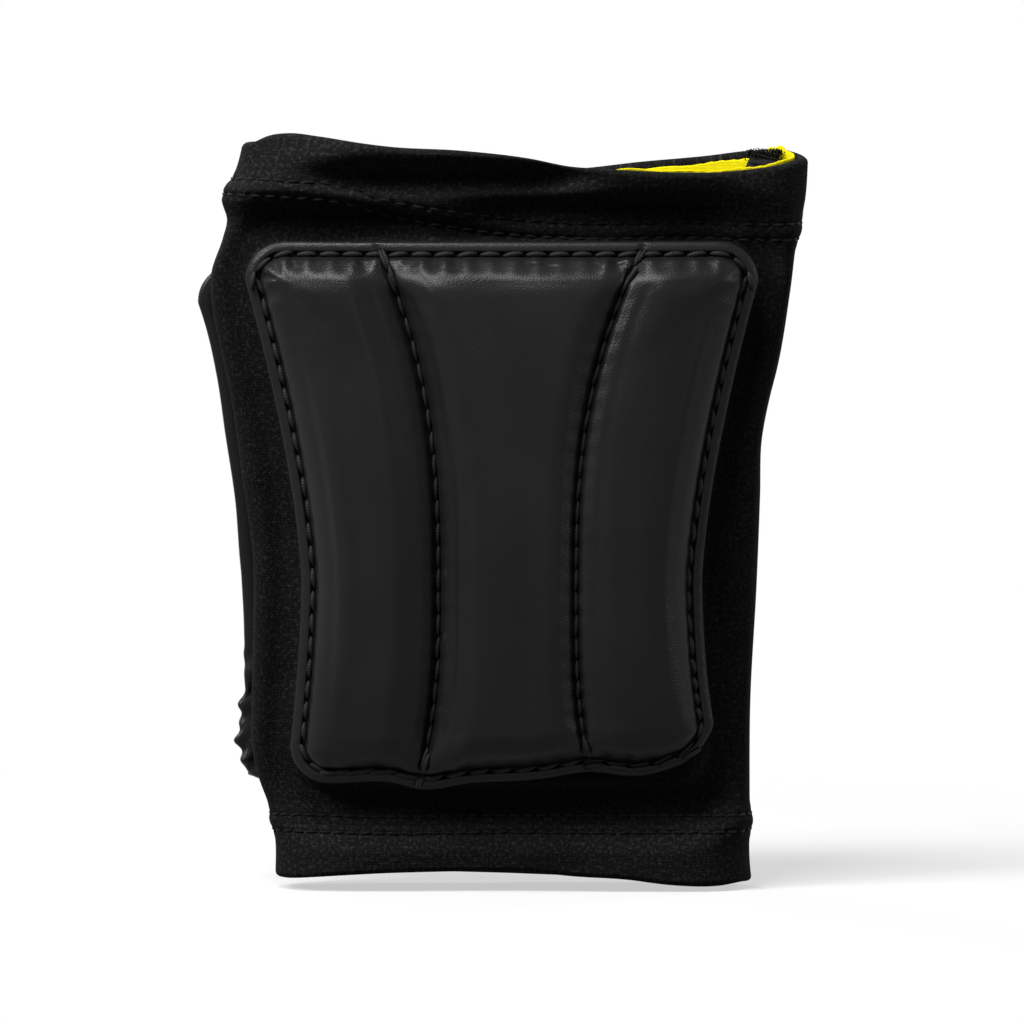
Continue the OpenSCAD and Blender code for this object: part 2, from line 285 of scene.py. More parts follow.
# ---------------------------------------------------------------- sleeve surface
# Left and right folds of the flattened sleeve, from its middle, at heights from the floor
left_fold = curve_through([
    (0, -42.9), (10, -43.0), (13.5, -43.6), (20, -45.9), (25, -47.0), (34, -47.1), (46, -46.8),
    (60, -46.9), (73, -48.6), (89, -50.9), (98, -52.8), (106, -54.2), (111, -54.2), (117, -52.2),
    (120.4, -51.4), (124, -52.2), (128, -50.3), (134, -48.6), (140, -47.8),
])
right_fold = curve_through([
    (0, 43.2), (5, 42.7), (13, 42.7), (34, 42.8), (55, 43.9), (71, 44.5), (81, 44.8),
    (88, 46.1), (94, 47.6), (108, 49.9), (118, 51.2), (124, 52.5), (131, 53.0), (140, 53.2),
])
# Height of each end and each seam along the front and the back wall
front_rim = curve_through([
    (-50, 134.5), (-47, 135.7), (-43, 136.2), (-38, 135.7), (-30, 134.6), (-24, 133.9), (-11, 133.2),
    (1, 131.8), (8.5, 130.3), (14, 130.0), (25, 129.4), (36, 129.4), (44, 130.2), (50, 131.1), (53, 131.5),
])
back_rim = curve_through([
    (-50, 134.4), (-30, 132.0), (-10, 129.9), (10, 129.3), (21, 130.5), (33, 131.6),
    (41, 132.6), (47, 132.9), (51, 132.2), (53, 131.5),
])
front_foot = curve_through([
    (-43, 1.9), (-35, 2.6), (-20, 3.4), (-8, 3.6), (4, 3.4), (10, 2.8),
    (20, 2.2), (28, 1.2), (37, 0.9), (43, 1.5),
])
back_foot = curve_through([(-43, 2.0), (-25, 2.2), (-10, 1.9), (10, 1.2), (25, 0.7), (43, 0.6)])
front_top_seam = curve_through([
    (-52, 126.6), (-40, 126.3), (-29, 125.0), (-23, 123.0), (-12, 120.9), (-2, 119.5),
    (14, 118.5), (30, 118.7), (44, 118.4), (52, 118.4),
])
back_top_seam = curve_through([(-52, 126.4), (-25, 123.6), (0, 121.5), (25, 119.8), (52, 118.6)])
front_low_seam = curve_through([(-43, 12.2), (-20, 11.9), (0, 12.1), (20, 12.0), (43, 12.1)])
back_low_seam = curve_through([(-43, 12.2), (0, 12.6), (43, 12.1)])

SECTION_STEPS = 4000    # points of the sleeve's outline in its table
FOLD_SQUARE = 7.0       # how square the flattened tube is at its side folds
# Flat widths of the tube at its middle, of the forearm band and of the wrist band
TUBE_W, TOP_W, LOW_W = 96, 104, 86
CURVES_HALF = 51.0      # half width over which the forearm end's curves are given
LOW_SHARE = 0.84        # the wrist end's curves are given over this share of it


def section_table():
    """Evenly spaced unit outline of a flattened tube: from the left fold, along the front wall, back."""
    t = np.linspace(0, 2 * math.pi, SECTION_STEPS + 1)
    c, y = -np.cos(t), -np.sin(t)
    x = np.sign(c) * np.abs(c) ** (2 / FOLD_SQUARE)
    step = np.hypot(np.diff(x) * TUBE_W / 2, np.diff(y) * HALF_DEPTH)
    length = np.concatenate([[0], np.cumsum(step)])
    at = np.linspace(0, length[-1], SECTION_STEPS + 1)
    return np.interp(at, length, x), np.interp(at, length, y), length[-1]


SECTION_X, SECTION_Y, GIRTH = section_table()


def section(a):
    """Unit across and depth of the sleeve's outline at share a of its girth."""
    at = (np.asarray(a, float) % 1.0) * SECTION_STEPS
    steps = np.arange(SECTION_STEPS + 1)
    return np.interp(at, steps, SECTION_X), np.interp(at, steps, SECTION_Y)


def along_wall(a, front, back, share=1):
    """A height that follows one curve along the front wall and another along the back wall."""
    x, y = section(a)
    across = x * CURVES_HALF * share
    w = smooth(y, -0.75, 0.75)
    return front(across) * (1 - w) + back(across) * w


def low_end(a):
    return along_wall(a, front_foot, back_foot, LOW_SHARE)


def low_seam(a):
    return along_wall(a, front_low_seam, back_low_seam, LOW_SHARE)


def top_seam(a):
    return along_wall(a, front_top_seam, back_top_seam)


def top_end(a):
    return along_wall(a, front_rim, back_rim)


cloth_ripple = Ripple(3, 26)
cloth_crumple = Ripple(5, 11)
HEM_COUNT = round(GIRTH / HEM_STITCH)
COLUMNS = 4 * HEM_COUNT


# The front wall dents freely to the first depth, and never further than both together
DENT_FREE, DENT_ROOM = 5.4, 2.0


def front_relief(x, z):
    """How far the front wall stands out from its plane, away from the pad: a valley and folds."""
    d = edge_distance(x - (FRONT_PAD_X - MID_X), z - PAD_Z)
    relief = -VALLEY * (1 - smooth(d, 3.0, 12.0))
    # the deep hollow between the pad's top and the band, from the middle to the right
    hollow = (1 - smooth(z, 121.5, 126.2)) * smooth(z, 103, 112)
    relief -= 4.4 * hollow * smooth(x, -16, 2) * (1 - smooth(x, 30, 42))
    # the soft dent below the rim, left of the middle
    relief -= 6.0 * smooth(x, -42, -24) * (1 - smooth(x, 2, 20)) * bump(z, 128.4, 2.6)
    # the band stands forward again above and beside the dents, and leans back at its left
    relief += 1.4 * bump(z, 131.8, 3.4) * (1 - smooth(np.abs(x + 2), 30, 50))
    relief -= 0.24 * np.clip(z - 126, 0, 12) * (1 - smooth(x, -40, -24))
    relief += 0.9 * bump(z, 125.0, 3.0) * bump(x, -44, 9)
    # a crease runs over the pad's top left corner
    relief -= 3.2 * bump(x, -31, 13) * bump(z, 119.8, 2.8)
    # the seam's lower lip, folded over the hollow
    relief += 1.3 * bump(z, 121.0 - 0.10 * (x + 5), 1.6) * bump(x, 0, 14)
    # the wrist band curls out at both sides and in at its middle
    relief += (1 - smooth(z, 2, 12)) * (0.3 - 1.4 * bump(x, -3, 22))
    # two walls can't share one place, so past a depth the dents level off
    deep = np.clip(-DENT_FREE - relief, 0, None)
    return relief + deep - DENT_ROOM * (1 - np.exp(-deep / DENT_ROOM))


def back_relief(x, z):
    """The same for the back wall, round the back pad."""
    d = edge_distance(x - (BACK_PAD_X - MID_X), z - PAD_Z)
    relief = -VALLEY * 0.7 * (1 - smooth(d, 3.0, 12.0))
    relief -= 0.6 * bump(z, 124, 5) * bump(x, 12, 16)
    return relief + 0.8 * bump(z, 131.0, 4.0) * (1 - smooth(np.abs(x), 30, 50))


def seam_relief(a, z, seam, pulled):
    """Ridge of a two-row coverstitch, with the dips that its stitches pull on the outer face."""
    d = z - seam
    pull = 0.55 + 0.45 * np.cos(2 * math.pi * np.asarray(a) * HEM_COUNT)
    half = ROW_GAUGE / 2
    rows = bump(d, half, 0.42) + bump(d, -half, 0.42)
    dips = 0.10 * bump(np.abs(d), 2.6, 0.7) * (1 - pull) - 0.5 * rows * pull
    return 0.62 * bump(d, 0, 1.9) + pulled * dips


def sleeve_outside(a, z, pulled=1.0):
    """Point on the sleeve's outer face at share a of the girth and height z, in millimetres."""
    ux, uy = section(a)
    left, right = left_fold(z), right_fold(z)
    x = (left + right) / 2 + (right - left) / 2 * ux
    front = uy < 0
    relief = np.where(front, front_relief(x, z), back_relief(x, z)) * smooth(np.abs(uy), 0.25, 0.92)
    pad_x = x - np.where(front, FRONT_PAD_X, BACK_PAD_X) + MID_X
    under_pad = 1 - smooth(edge_distance(pad_x, z - PAD_Z), -BORDER_INSET, 1.2)
    under_pad *= smooth(np.abs(uy), 0.70, 0.95)
    free = HALF_DEPTH * np.abs(uy) + relief
    held = HALF_DEPTH - pad_lean(pad_x)
    y = np.where(front, -1, 1) * (free + (held - free) * under_pad)
    lift = sum(seam_relief(a, z, seam(a), pulled) for seam in (top_seam, low_seam))
    round_x = x + np.where(front, 0, 60)
    uneven = 0.26 * cloth_ripple(round_x, z) + 0.08 * cloth_crumple(round_x, z)
    lift += uneven * smooth(np.abs(uy), 0, 0.5)
    out_x, out_y = np.sign(ux) * np.abs(ux) ** 6, uy
    norm = np.maximum(np.hypot(out_x, out_y), 1e-6)
    return np.stack([MID_X + x + lift * out_x / norm, y + lift * out_y / norm, z + 0 * x], -1)


def sleeve_normal(a, z, level=False):
    """Outward unit normal of the sleeve's outer face, or its direction in the level plane."""
    da, dz = 0.0012, 0.3     # short steps round the girth and up
    along = sleeve_outside(a + da, z, 0) - sleeve_outside(a - da, z, 0)
    up = np.array([0, 0, 1.0]) if level else sleeve_outside(a, z + dz, 0) - sleeve_outside(a, z - dz, 0)
    return unit(np.cross(along, up))


def sleeve_point(a, z, depth):
    """Point below the sleeve's outer face by depth, at the same height."""
    a, z = np.broadcast_arrays(np.asarray(a, float), np.asarray(z, float))
    face = sleeve_outside(a, z, 1 - smooth(depth, 0.4, 1.6))
    return face - sleeve_normal(a, z, level=True) * np.asarray(depth, float)[..., None]


def sleeve_ring(name, low, high, outer, inner, rows, rounds=(1, 1), top_noise=None):
    """A closed layer of the sleeve between two heights and two depths.

    Its low and its high rim are rounded by a share of its half thickness.
    """
    a = np.arange(COLUMNS) / COLUMNS
    middle, half = (outer + inner) / 2, (inner - outer) / 2
    r0, r1 = half * rounds[0], half * rounds[1]
    climb = [(v, r0 * (1 - v) - r1 * v, -half) for v in drawn_in(rows, 0.82)]
    turn = [math.pi * k / 6 for k in range(1, 6)]
    over = [(1, r1 * (math.sin(f) - 1), -half * math.cos(f)) for f in turn]
    down = [(v, lift, -depth) for v, lift, depth in climb[::-1]]
    under = [(0, r0 * (1 - math.sin(f)), half * math.cos(f)) for f in turn]
    share, lift, depth = (np.array(k)[:, None] for k in zip(*(climb + over + down + under)))
    z0, z1 = low(a), high(a)
    z = z0 + (z1 - z0) * share + lift
    if top_noise is not None:
        z = z + top_noise(a * GIRTH) * (share > 0.9)
    points = sleeve_point(np.broadcast_to(a, z.shape), z, middle + depth + 0 * z)
    faces = grid_faces(len(z), COLUMNS, True, True)
    u = faces[:, 0] % COLUMNS * GIRTH / COLUMNS
    corner_u = u[:, None] + np.array([0, 1, 1, 0]) * GIRTH / COLUMNS
    run = z + middle + depth - outer
    uv = np.stack([corner_u, run.ravel()[faces]], -1) * MM
    return make_mesh(name, points.reshape(-1, 3), faces, uv)


# ---------------------------------------------------------------- pad cover
# Each channel seam: how deep it is drawn in, and how wide its flank is to the left and to the right
SEAM_DRAWN = {-1: (4.8, 7.5, 6.5), 1: (3.1, 4.4, 6.4)}
SIDE_BEVEL = (1.9, 1.8)    # width and rise of the flank beside the border stitches, at the edges
TOP_BEVEL = (3.9, 2.5)     # the same along the top
FOOT_BEVEL = (2.2, 1.2)    # the same along the foot
WALL_W, WALL_RISE = 0.8, 1.5     # the leather stands up steeply where the border stitches hold it
SIDE_SWELL, END_SWELL = 20.0, 47.0     # widths of the slow rise behind the flanks
FURROWS = {-1: 16.5, 1: 8.0}     # how far to the right of each channel seam the foam has a furrow
pad_ripple = Ripple(11, 30)
pad_fine_ripple = Ripple(12, 9)


def swell(d, width):
    """Rise of a pillow's flank from 0 at its sewn line to 1, level, at its width."""
    return np.sin(math.pi / 2 * np.clip(np.asarray(d, float) / width, 0, 1))


def straight(d, width):
    """Rise of a flank that is straight up to its width and then rounds off to level at 1."""
    d = np.clip(np.asarray(d, float), 0, None)
    return (d - 0.7 * np.logaddexp(0, (d - width) / 0.7)) / width


def pad_height(x, h):
    """Thickness of a filled pad at (x, h): three pillows between sewn lines, on a flat rim."""
    inner = -edge_distance(x, h) - BORDER_INSET
    side = pad_edge(h) - np.abs(x) - BORDER_INSET
    end = np.minimum(h, PAD_H - h) - BORDER_INSET
    at_end = smooth(side - end, -4, 4)
    high = h > PAD_H / 2
    width, rise = (
        a + (np.where(high, b, c) - a) * at_end for a, b, c in zip(SIDE_BEVEL, TOP_BEVEL, FOOT_BEVEL)
    )
    slow = (0.6 * swell(side, SIDE_SWELL) + 0.4 * swell(end, END_SWELL)) * swell(inner, 7.0)
    thick = WALL_RISE * swell(inner, WALL_W) + rise * straight(inner, width)
    thick += (PAD_THICK - GROOVE_T - WALL_RISE - rise) * slow
    for which, (depth, left, right) in SEAM_DRAWN.items():
        away = x - seam_x(h, which)
        flank = straight(np.abs(away), np.where(away < 0, left, right))
        thick -= depth * (1 - flank) * swell(inner, 9.0)
        thick -= 0.45 * bump(away, FURROWS[which], 3.4) * bump(h, 42, 30) * smooth(inner, 1, 5)
    return GROOVE_T + np.maximum(thick, 0.15 * straight(inner, 2.0))


BORDER_LOOP, BORDER_LENGTH = pad_loop(BORDER_INSET, 900)
BORDER_COUNT = round(BORDER_LENGTH / PAD_STITCH)
SEAM_LOW, SEAM_HIGH = 1.4, PAD_H - 2.6
SEAM_COUNT = round((SEAM_HIGH - SEAM_LOW) / PAD_STITCH)


def border_phase(x, h):
    """Which border stitch, counted round the pad, is nearest to each point."""
    nearest = np.zeros(x.size, int)
    flat = np.stack([x.ravel(), h.ravel()], 1)
    for rows in np.array_split(np.arange(len(flat)), 60):
        away = ((flat[rows, None] - BORDER_LOOP) ** 2).sum(-1)
        nearest[rows] = away.argmin(1)
    return (nearest / len(BORDER_LOOP) * BORDER_COUNT).reshape(x.shape)


def leather_detail(x, h):
    """Fine shape of the stretched leather: sewn grooves, needle dips, puckers and its uneven fill."""
    d = -edge_distance(x, h)
    inner = d - BORDER_INSET
    side = np.where(x < 0, -1, 1)
    to_seam = np.abs(x - np.where(x < 0, seam_x(h, -1), seam_x(h, 1)))
    border_wave = np.cos(2 * math.pi * border_phase(x, h))
    seam_wave = np.cos(2 * math.pi * (h - SEAM_LOW) / (SEAM_HIGH - SEAM_LOW) * SEAM_COUNT)
    # the sewn lines pull narrow grooves, deepest at each needle hole
    move = -0.38 * bump(inner, 0, 0.6) * (0.6 - 0.4 * border_wave)
    seam_depth = 0.30 + 0.55 * smooth(inner, 0, 4)
    move -= seam_depth * bump(to_seam, 0, 0.7) * smooth(d, -0.3, 0.3)
    move += 0.25 * seam_wave * bump(to_seam, 0, 0.7) * smooth(d, 0.5, 1.5)
    # puckers run in from the border and fade: strong at the top, weak at the sides and the foot
    uneven = 0.65 + 0.35 * pad_fine_ripple(x, 0.3 * h)
    in_corner = np.where(side < 0, 0.9, 0.45)
    at_top = smooth(h, PAD_H - 14, PAD_H - 8) * np.where(side * x < 26, 1.0, in_corner)
    at_foot = smooth(-h, -10, -6) * (0.3 + 0.9 * bump(to_seam, 5.0, 4.0))
    strength = 0.05 + 0.62 * at_top + 0.20 * at_foot
    fade = smooth(inner, -0.3, 0.5) * (1 - smooth(inner, 0.6, 3.8))
    move += strength * border_wave * uneven * fade
    # short ones lie across the channel seams
    move += 0.03 * seam_wave * bump(to_seam, 2.0, 1.3) * smooth(inner, 0, 3)
    # long soft unevenness of the foam under the leather
    return move + 0.17 * pad_ripple(x * 1.7, h * 0.7) * smooth(inner, 1, 6) * smooth(to_seam, 1, 6)


# The pad's columns follow its edges and seams, and its rows close up at the round corners
CHANNEL_COLUMNS = 20
PAD_ROWS = 68
FINE = 4               # the finished leather has this many cells for each one of the cloth simulation
# Rings round the turned edge: how far each stands out, and at what share of the edge's thickness
LIP_RINGS = ((0.42, 0.86), (LIP_OUT, 0.5), (0.42, 0.16), (-0.1, 0.0))
BACK_INSET = 1.6       # the flat back starts this far inside the edge


def pad_grid(fine):
    """Points (x, h) of the pad's grid, rows by columns."""
    h = drawn_in(PAD_ROWS * fine + 1, 0.55) * PAD_H
    lines = [-pad_edge(h), seam_x(h, -1), seam_x(h, 1), pad_edge(h)]
    share = drawn_in(CHANNEL_COLUMNS * fine + 1, 0.5)
    parts = [a[:, None] + (b - a)[:, None] * share for a, b in zip(lines, lines[1:])]
    x = np.concatenate([parts[0], parts[1][:, 1:], parts[2][:, 1:]], 1)
    return x, np.broadcast_to(h[:, None], x.shape)


def rim_of(rows, cols):
    """Indices round the border of a grid, from its first point along the foot to the right."""
    index = np.arange(rows * cols).reshape(rows, cols)
    return np.concatenate([index[0, :-1], index[:-1, -1], index[-1, :0:-1], index[:0:-1, 0]])


def lip_height(edge):
    """Thickness of the turned edge, from the pad's edge at 0 to the border groove at 1."""
    lip = LIP_T * (1 - 0.14 * (2 * edge - 1) ** 2)
    return lip + (GROOVE_T - lip) * smooth(edge, 0.55, 1)


def pad_mesh(name, fine, detail=0.0, shift=0.0):
    """The pad as a closed pillow: filled channels, a rounded turned edge and a flat back."""
    x, h = pad_grid(fine)
    edge = np.clip(-edge_distance(x, h) / BORDER_INSET, 0, 1)
    thick = np.where(edge < 1, lip_height(edge), pad_height(x, h)) + detail
    top = np.stack([x, -thick, h], -1) + shift
    rim = rim_of(*x.shape)
    points, faces = [top.reshape(-1, 3)], [grid_faces(*x.shape, False, False)]
    loop, edge_t = points[0][rim][:, [0, 2]], -points[0][rim][:, 1]
    outward = outward_of(loop)
    last, total = rim, x.size
    for out, share in LIP_RINGS:
        ring = loop + outward * out
        points.append(np.stack([ring[:, 0], -edge_t * share, ring[:, 1]], 1))
        here = total + np.arange(len(rim))
        faces.append(np.stack([last, here, np.roll(here, -1), np.roll(last, -1)], 1))
        last, total = here, total + len(rim)
    # the back is a coarse grid, and each of its border edges takes `fine` edges of the last ring
    bx, bh = pad_grid(1)
    bx, bh = bx * (1 - BACK_INSET / pad_edge(bh)), BACK_INSET + bh * (PAD_H - 2 * BACK_INSET) / PAD_H
    points.append(np.stack([bx, 0 * bx, bh], -1).reshape(-1, 3))
    faces.append(grid_faces(*bx.shape, False, False)[:, ::-1] + total)
    back_rim = rim_of(*bx.shape) + total
    polygons = [face for part in faces for face in part.tolist()]
    outer = last[np.arange(len(last) + 1) % len(last)]
    for i, here in enumerate(back_rim):
        far = back_rim[(i + 1) % len(back_rim)]
        polygons.append([here, far] + outer[i * fine:(i + 1) * fine + 1][::-1].tolist())
    return make_mesh(name, np.concatenate(points), polygons)


def apply_modifier(obj, modifier):
    """Keeps a modifier's result as the object's own mesh."""
    graph = bpy.context.evaluated_depsgraph_get()
    done = bpy.data.meshes.new_from_object(obj.evaluated_get(graph), depsgraph=graph)
    obj.modifiers.remove(modifier)
    old, obj.data = obj.data, done
    bpy.data.meshes.remove(old)


def positions(obj):
    """The points of a mesh object, in millimetres."""
    co = np.empty(len(obj.data.vertices) * 3, np.float32)
    obj.data.vertices.foreach_get("co", co)
    return co.reshape(-1, 3).astype(float) / MM


def set_positions(obj, points):
    obj.data.vertices.foreach_set("co", (points * MM).astype(np.float32).ravel())
    obj.data.update()


SIM_SCALE = 5          # the cloth solver works best on a form of about half a metre
SWELL_MOST = 1.6       # the most that filling may move the leather, in millimetres
FOAM_GIVES = 0.25      # how far the foam lets the leather sink
SIM_FRAMES = 20


def filling():
    """How a pressure cloth swells the leather between its sewn lines, at each point of the coarse grid."""
    x, h = pad_grid(1)
    pad = pad_mesh("filling", 1)
    rest = positions(pad)
    count = x.size
    d = -edge_distance(x, h)
    to_seam = np.minimum(np.abs(x - seam_x(h, -1)), np.abs(x - seam_x(h, 1)))
    free = (smooth(d, BORDER_INSET, 9.0) * smooth(to_seam, 0.4, 6.0)).ravel()
    group = pad.vertex_groups.new(name="sewn")
    for i in range(len(rest)):
        group.add([i], float(1 - free[i]) if i < count else 1.0, "REPLACE")
    set_positions(pad, rest * SIM_SCALE)
    cloth = pad.modifiers.new("filling", "CLOTH")
    settings = cloth.settings
    settings.vertex_group_mass = group.name
    settings.quality = 6
    settings.mass = 0.35
    settings.tension_stiffness = settings.compression_stiffness = 18
    settings.shear_stiffness = 6
    settings.bending_stiffness = 6
    settings.shrink_min = settings.shrink_max = 0.01
    settings.use_pressure = True
    settings.uniform_pressure_force = 4
    settings.effector_weights.gravity = 0
    cloth.collision_settings.use_collision = False
    cloth.point_cache.frame_start, cloth.point_cache.frame_end = 1, SIM_FRAMES
    for number in range(1, SIM_FRAMES + 1):
        bpy.context.scene.frame_set(number)
    apply_modifier(pad, cloth)
    bpy.context.scene.frame_set(1)
    move = (positions(pad) / SIM_SCALE - rest)[:count] * free[:, None]
    bpy.data.objects.remove(pad)
    length = np.linalg.norm(move, axis=1, keepdims=True)
    move *= SWELL_MOST * np.tanh(length / SWELL_MOST) / np.maximum(length, 1e-9)
    move[:, 1] = np.minimum(move[:, 1], FOAM_GIVES)
    return move.reshape(*x.shape, 3)


def finer(values, fine, axis):
    """Values of a grid at `fine` times as many steps along an axis, on a smooth cubic curve."""
    values = np.moveaxis(values, axis, 0)
    n = len(values)
    at = np.arange((n - 1) * fine + 1) / fine
    i = np.minimum(at.astype(int), n - 2)
    t = (at - i).reshape([-1] + [1] * (values.ndim - 1))
    p = [values[np.clip(i + k, 0, n - 1)] for k in (-1, 0, 1, 2)]
    cubic = 0.5 * (
        2 * p[1] + (p[2] - p[0]) * t + (2 * p[0] - 5 * p[1] + 4 * p[2] - p[3]) * t**2
        + (3 * p[1] - p[0] - 3 * p[2] + p[3]) * t**3
    )
    return np.moveaxis(cubic, 0, axis)


def pad_cover(name):
    """The finished leather: swollen by the cloth solver, then given its fine sewn detail."""
    shift = 0.0
    shift = finer(finer(filling(), FINE, 0), FINE, 1)
    x, h = pad_grid(FINE)
    return pad_mesh(name, FINE, leather_detail(x, h), shift)


def lean_back(points):
    """Bends a pad's points round the wrist, from the pad's own place to the sleeve's face."""
    out = points.copy()
    out[:, 1] = points[:, 1] - HALF_DEPTH + pad_lean(points[:, 0])
    return out


# How far the front pad's foot is drawn up by its fastening, across the pad
foot_lift = curve_through([
    (-38, 1.6), (-30, 1.5), (-20, 1.7), (-14.5, 0.5), (-6, 1.6),
    (7, 2.4), (15, 3.6), (26, 3.0), (31, 4.4), (37, 6.6),
])


def to_front(points):
    """From the pad's own place to the front wall, with its foot drawn up a little."""
    out = points.copy()
    out[:, 2] += foot_lift(points[:, 0]) * (1 - smooth(points[:, 2], 0, 26))
    return lean_back(out) + [FRONT_PAD_X, 0, PAD_Z]


corner_crease = Ripple(31, 3.4)
# How far the back pad's side reaches past its cut outline, up the pad
spread = curve_through([
    (0, 0.5), (12, 0.4), (20, 0.3), (27, 0.8), (41, 1.8),
    (50, 1.5), (64, 1.3), (76, 0.6), (86, 0.3), (98, 0.9),
])


def to_back(points):
    """From the pad's own place to the back wall, turned half round, with one top corner pulled down."""
    out = points.copy()
    pulled = smooth(points[:, 0], 12, PAD_TOP_HALF) * smooth(points[:, 2], 45, PAD_H)
    out[:, 2] -= 5.0 * pulled
    out[:, 0] -= 1.2 * pulled
    # that side's edge has spread a little along the sleeve's fold
    out[:, 0] += spread(points[:, 2]) * smooth(points[:, 0], 8, 30)
    # its lower corner on the same side is crumpled
    creased = smooth(points[:, 0], 24, 34) * (1 - smooth(points[:, 2], 14, 30))
    out[:, 0] += 0.45 * creased * corner_crease(points[:, 2], 0.3 * points[:, 0])
    out[:, 1] -= 0.55 * creased * (1 + corner_crease(points[:, 2] + 9, points[:, 0]))
    return lean_back(out) * [-1, -1, 1] + [BACK_PAD_X, 0, PAD_Z]


PLACES = {"front_pad": (to_front, FRONT), "back_pad": (to_back, ROOT)}


def copy_of(obj, name, place):
    """A copy of a piece modelled in the pad's own place, moved to where it belongs."""
    piece = new_object(name, obj.data.copy())
    piece.data.name = name
    set_positions(piece, place(positions(piece)))
    return piece


def closed_block(name, x, h, low_t, high_t):
    """A closed piece between two thicknesses over a grid of (x, h), in the pad's own place."""
    rows, cols = x.shape
    top = np.stack([x, -high_t, h], -1).reshape(-1, 3)
    base = np.stack([x, -(low_t + 0 * x), h], -1).reshape(-1, 3)
    quads = grid_faces(rows, cols, False, False)
    rim = rim_of(rows, cols)
    walls = np.stack([rim, rim + len(top), np.roll(rim, -1) + len(top), np.roll(rim, -1)], 1)
    faces = np.concatenate([quads, quads[:, ::-1] + len(top), walls])
    return make_mesh(name, np.concatenate([top, base]), faces)


FOAM_INSET = 4.4       # foam stops this far inside the pad's edge
FOAM_UNDER = 1.3       # leather and clearance over the foam
FOAM_SEAM_ROOM = 1.2   # and this far beside a channel seam
FOAM_LEAST = 0.3       # its least thickness
# How far each strip's back lies in front of the pad's back; the stay is behind the centre one
FOAM_BASE = {"left": 0.95, "centre": 2.2, "right": 0.95}


def foam_strip(name, part):
    """One crowned strip of foam that fills a channel."""
    h = np.linspace(FOAM_INSET, PAD_H - FOAM_INSET, 50)
    left, right = seam_x(h, -1), seam_x(h, 1)
    edge = pad_edge(h) - FOAM_INSET
    a, b = {
        "left": (-edge, left - FOAM_SEAM_ROOM),
        "centre": (left + FOAM_SEAM_ROOM, right - FOAM_SEAM_ROOM),
        "right": (right + FOAM_SEAM_ROOM, edge),
    }[part]
    share = (1 - np.cos(np.linspace(0, math.pi, 22))) / 2
    x = a[:, None] + (b - a)[:, None] * share
    hh = np.broadcast_to(h[:, None], x.shape)
    low = FOAM_BASE[part]
    top = np.maximum(pad_height(x, hh) - FOAM_UNDER, low + FOAM_LEAST)
    return closed_block(name, x, hh, low, top)


def backing_panel(name):
    """The thin woven cloth that closes a pad's back."""
    t = np.linspace(0, 1, 61)
    h = 0.5 + (PAD_H - 1.0) * t
    edge = pad_edge(h) - 1.8
    x = edge[:, None] * np.linspace(-1, 1, 49)
    hh = np.broadcast_to(h[:, None], x.shape)
    return closed_block(name, x, hh, -0.02, np.full(x.shape, 0.02))


# ---------------------------------------------------------------- stitches, by geometry nodes
def add(tree, kind, inputs=None, **settings):
    """Adds a node, sets its settings, and fills or links its inputs."""
    node = tree.nodes.new(kind)
    for key, value in settings.items():
        setattr(node, key, value)
    for key, value in (inputs or {}).items():
        if isinstance(value, bpy.types.NodeSocket):
            tree.links.new(value, node.inputs[key])
        else:
            node.inputs[key].default_value = value
    return node


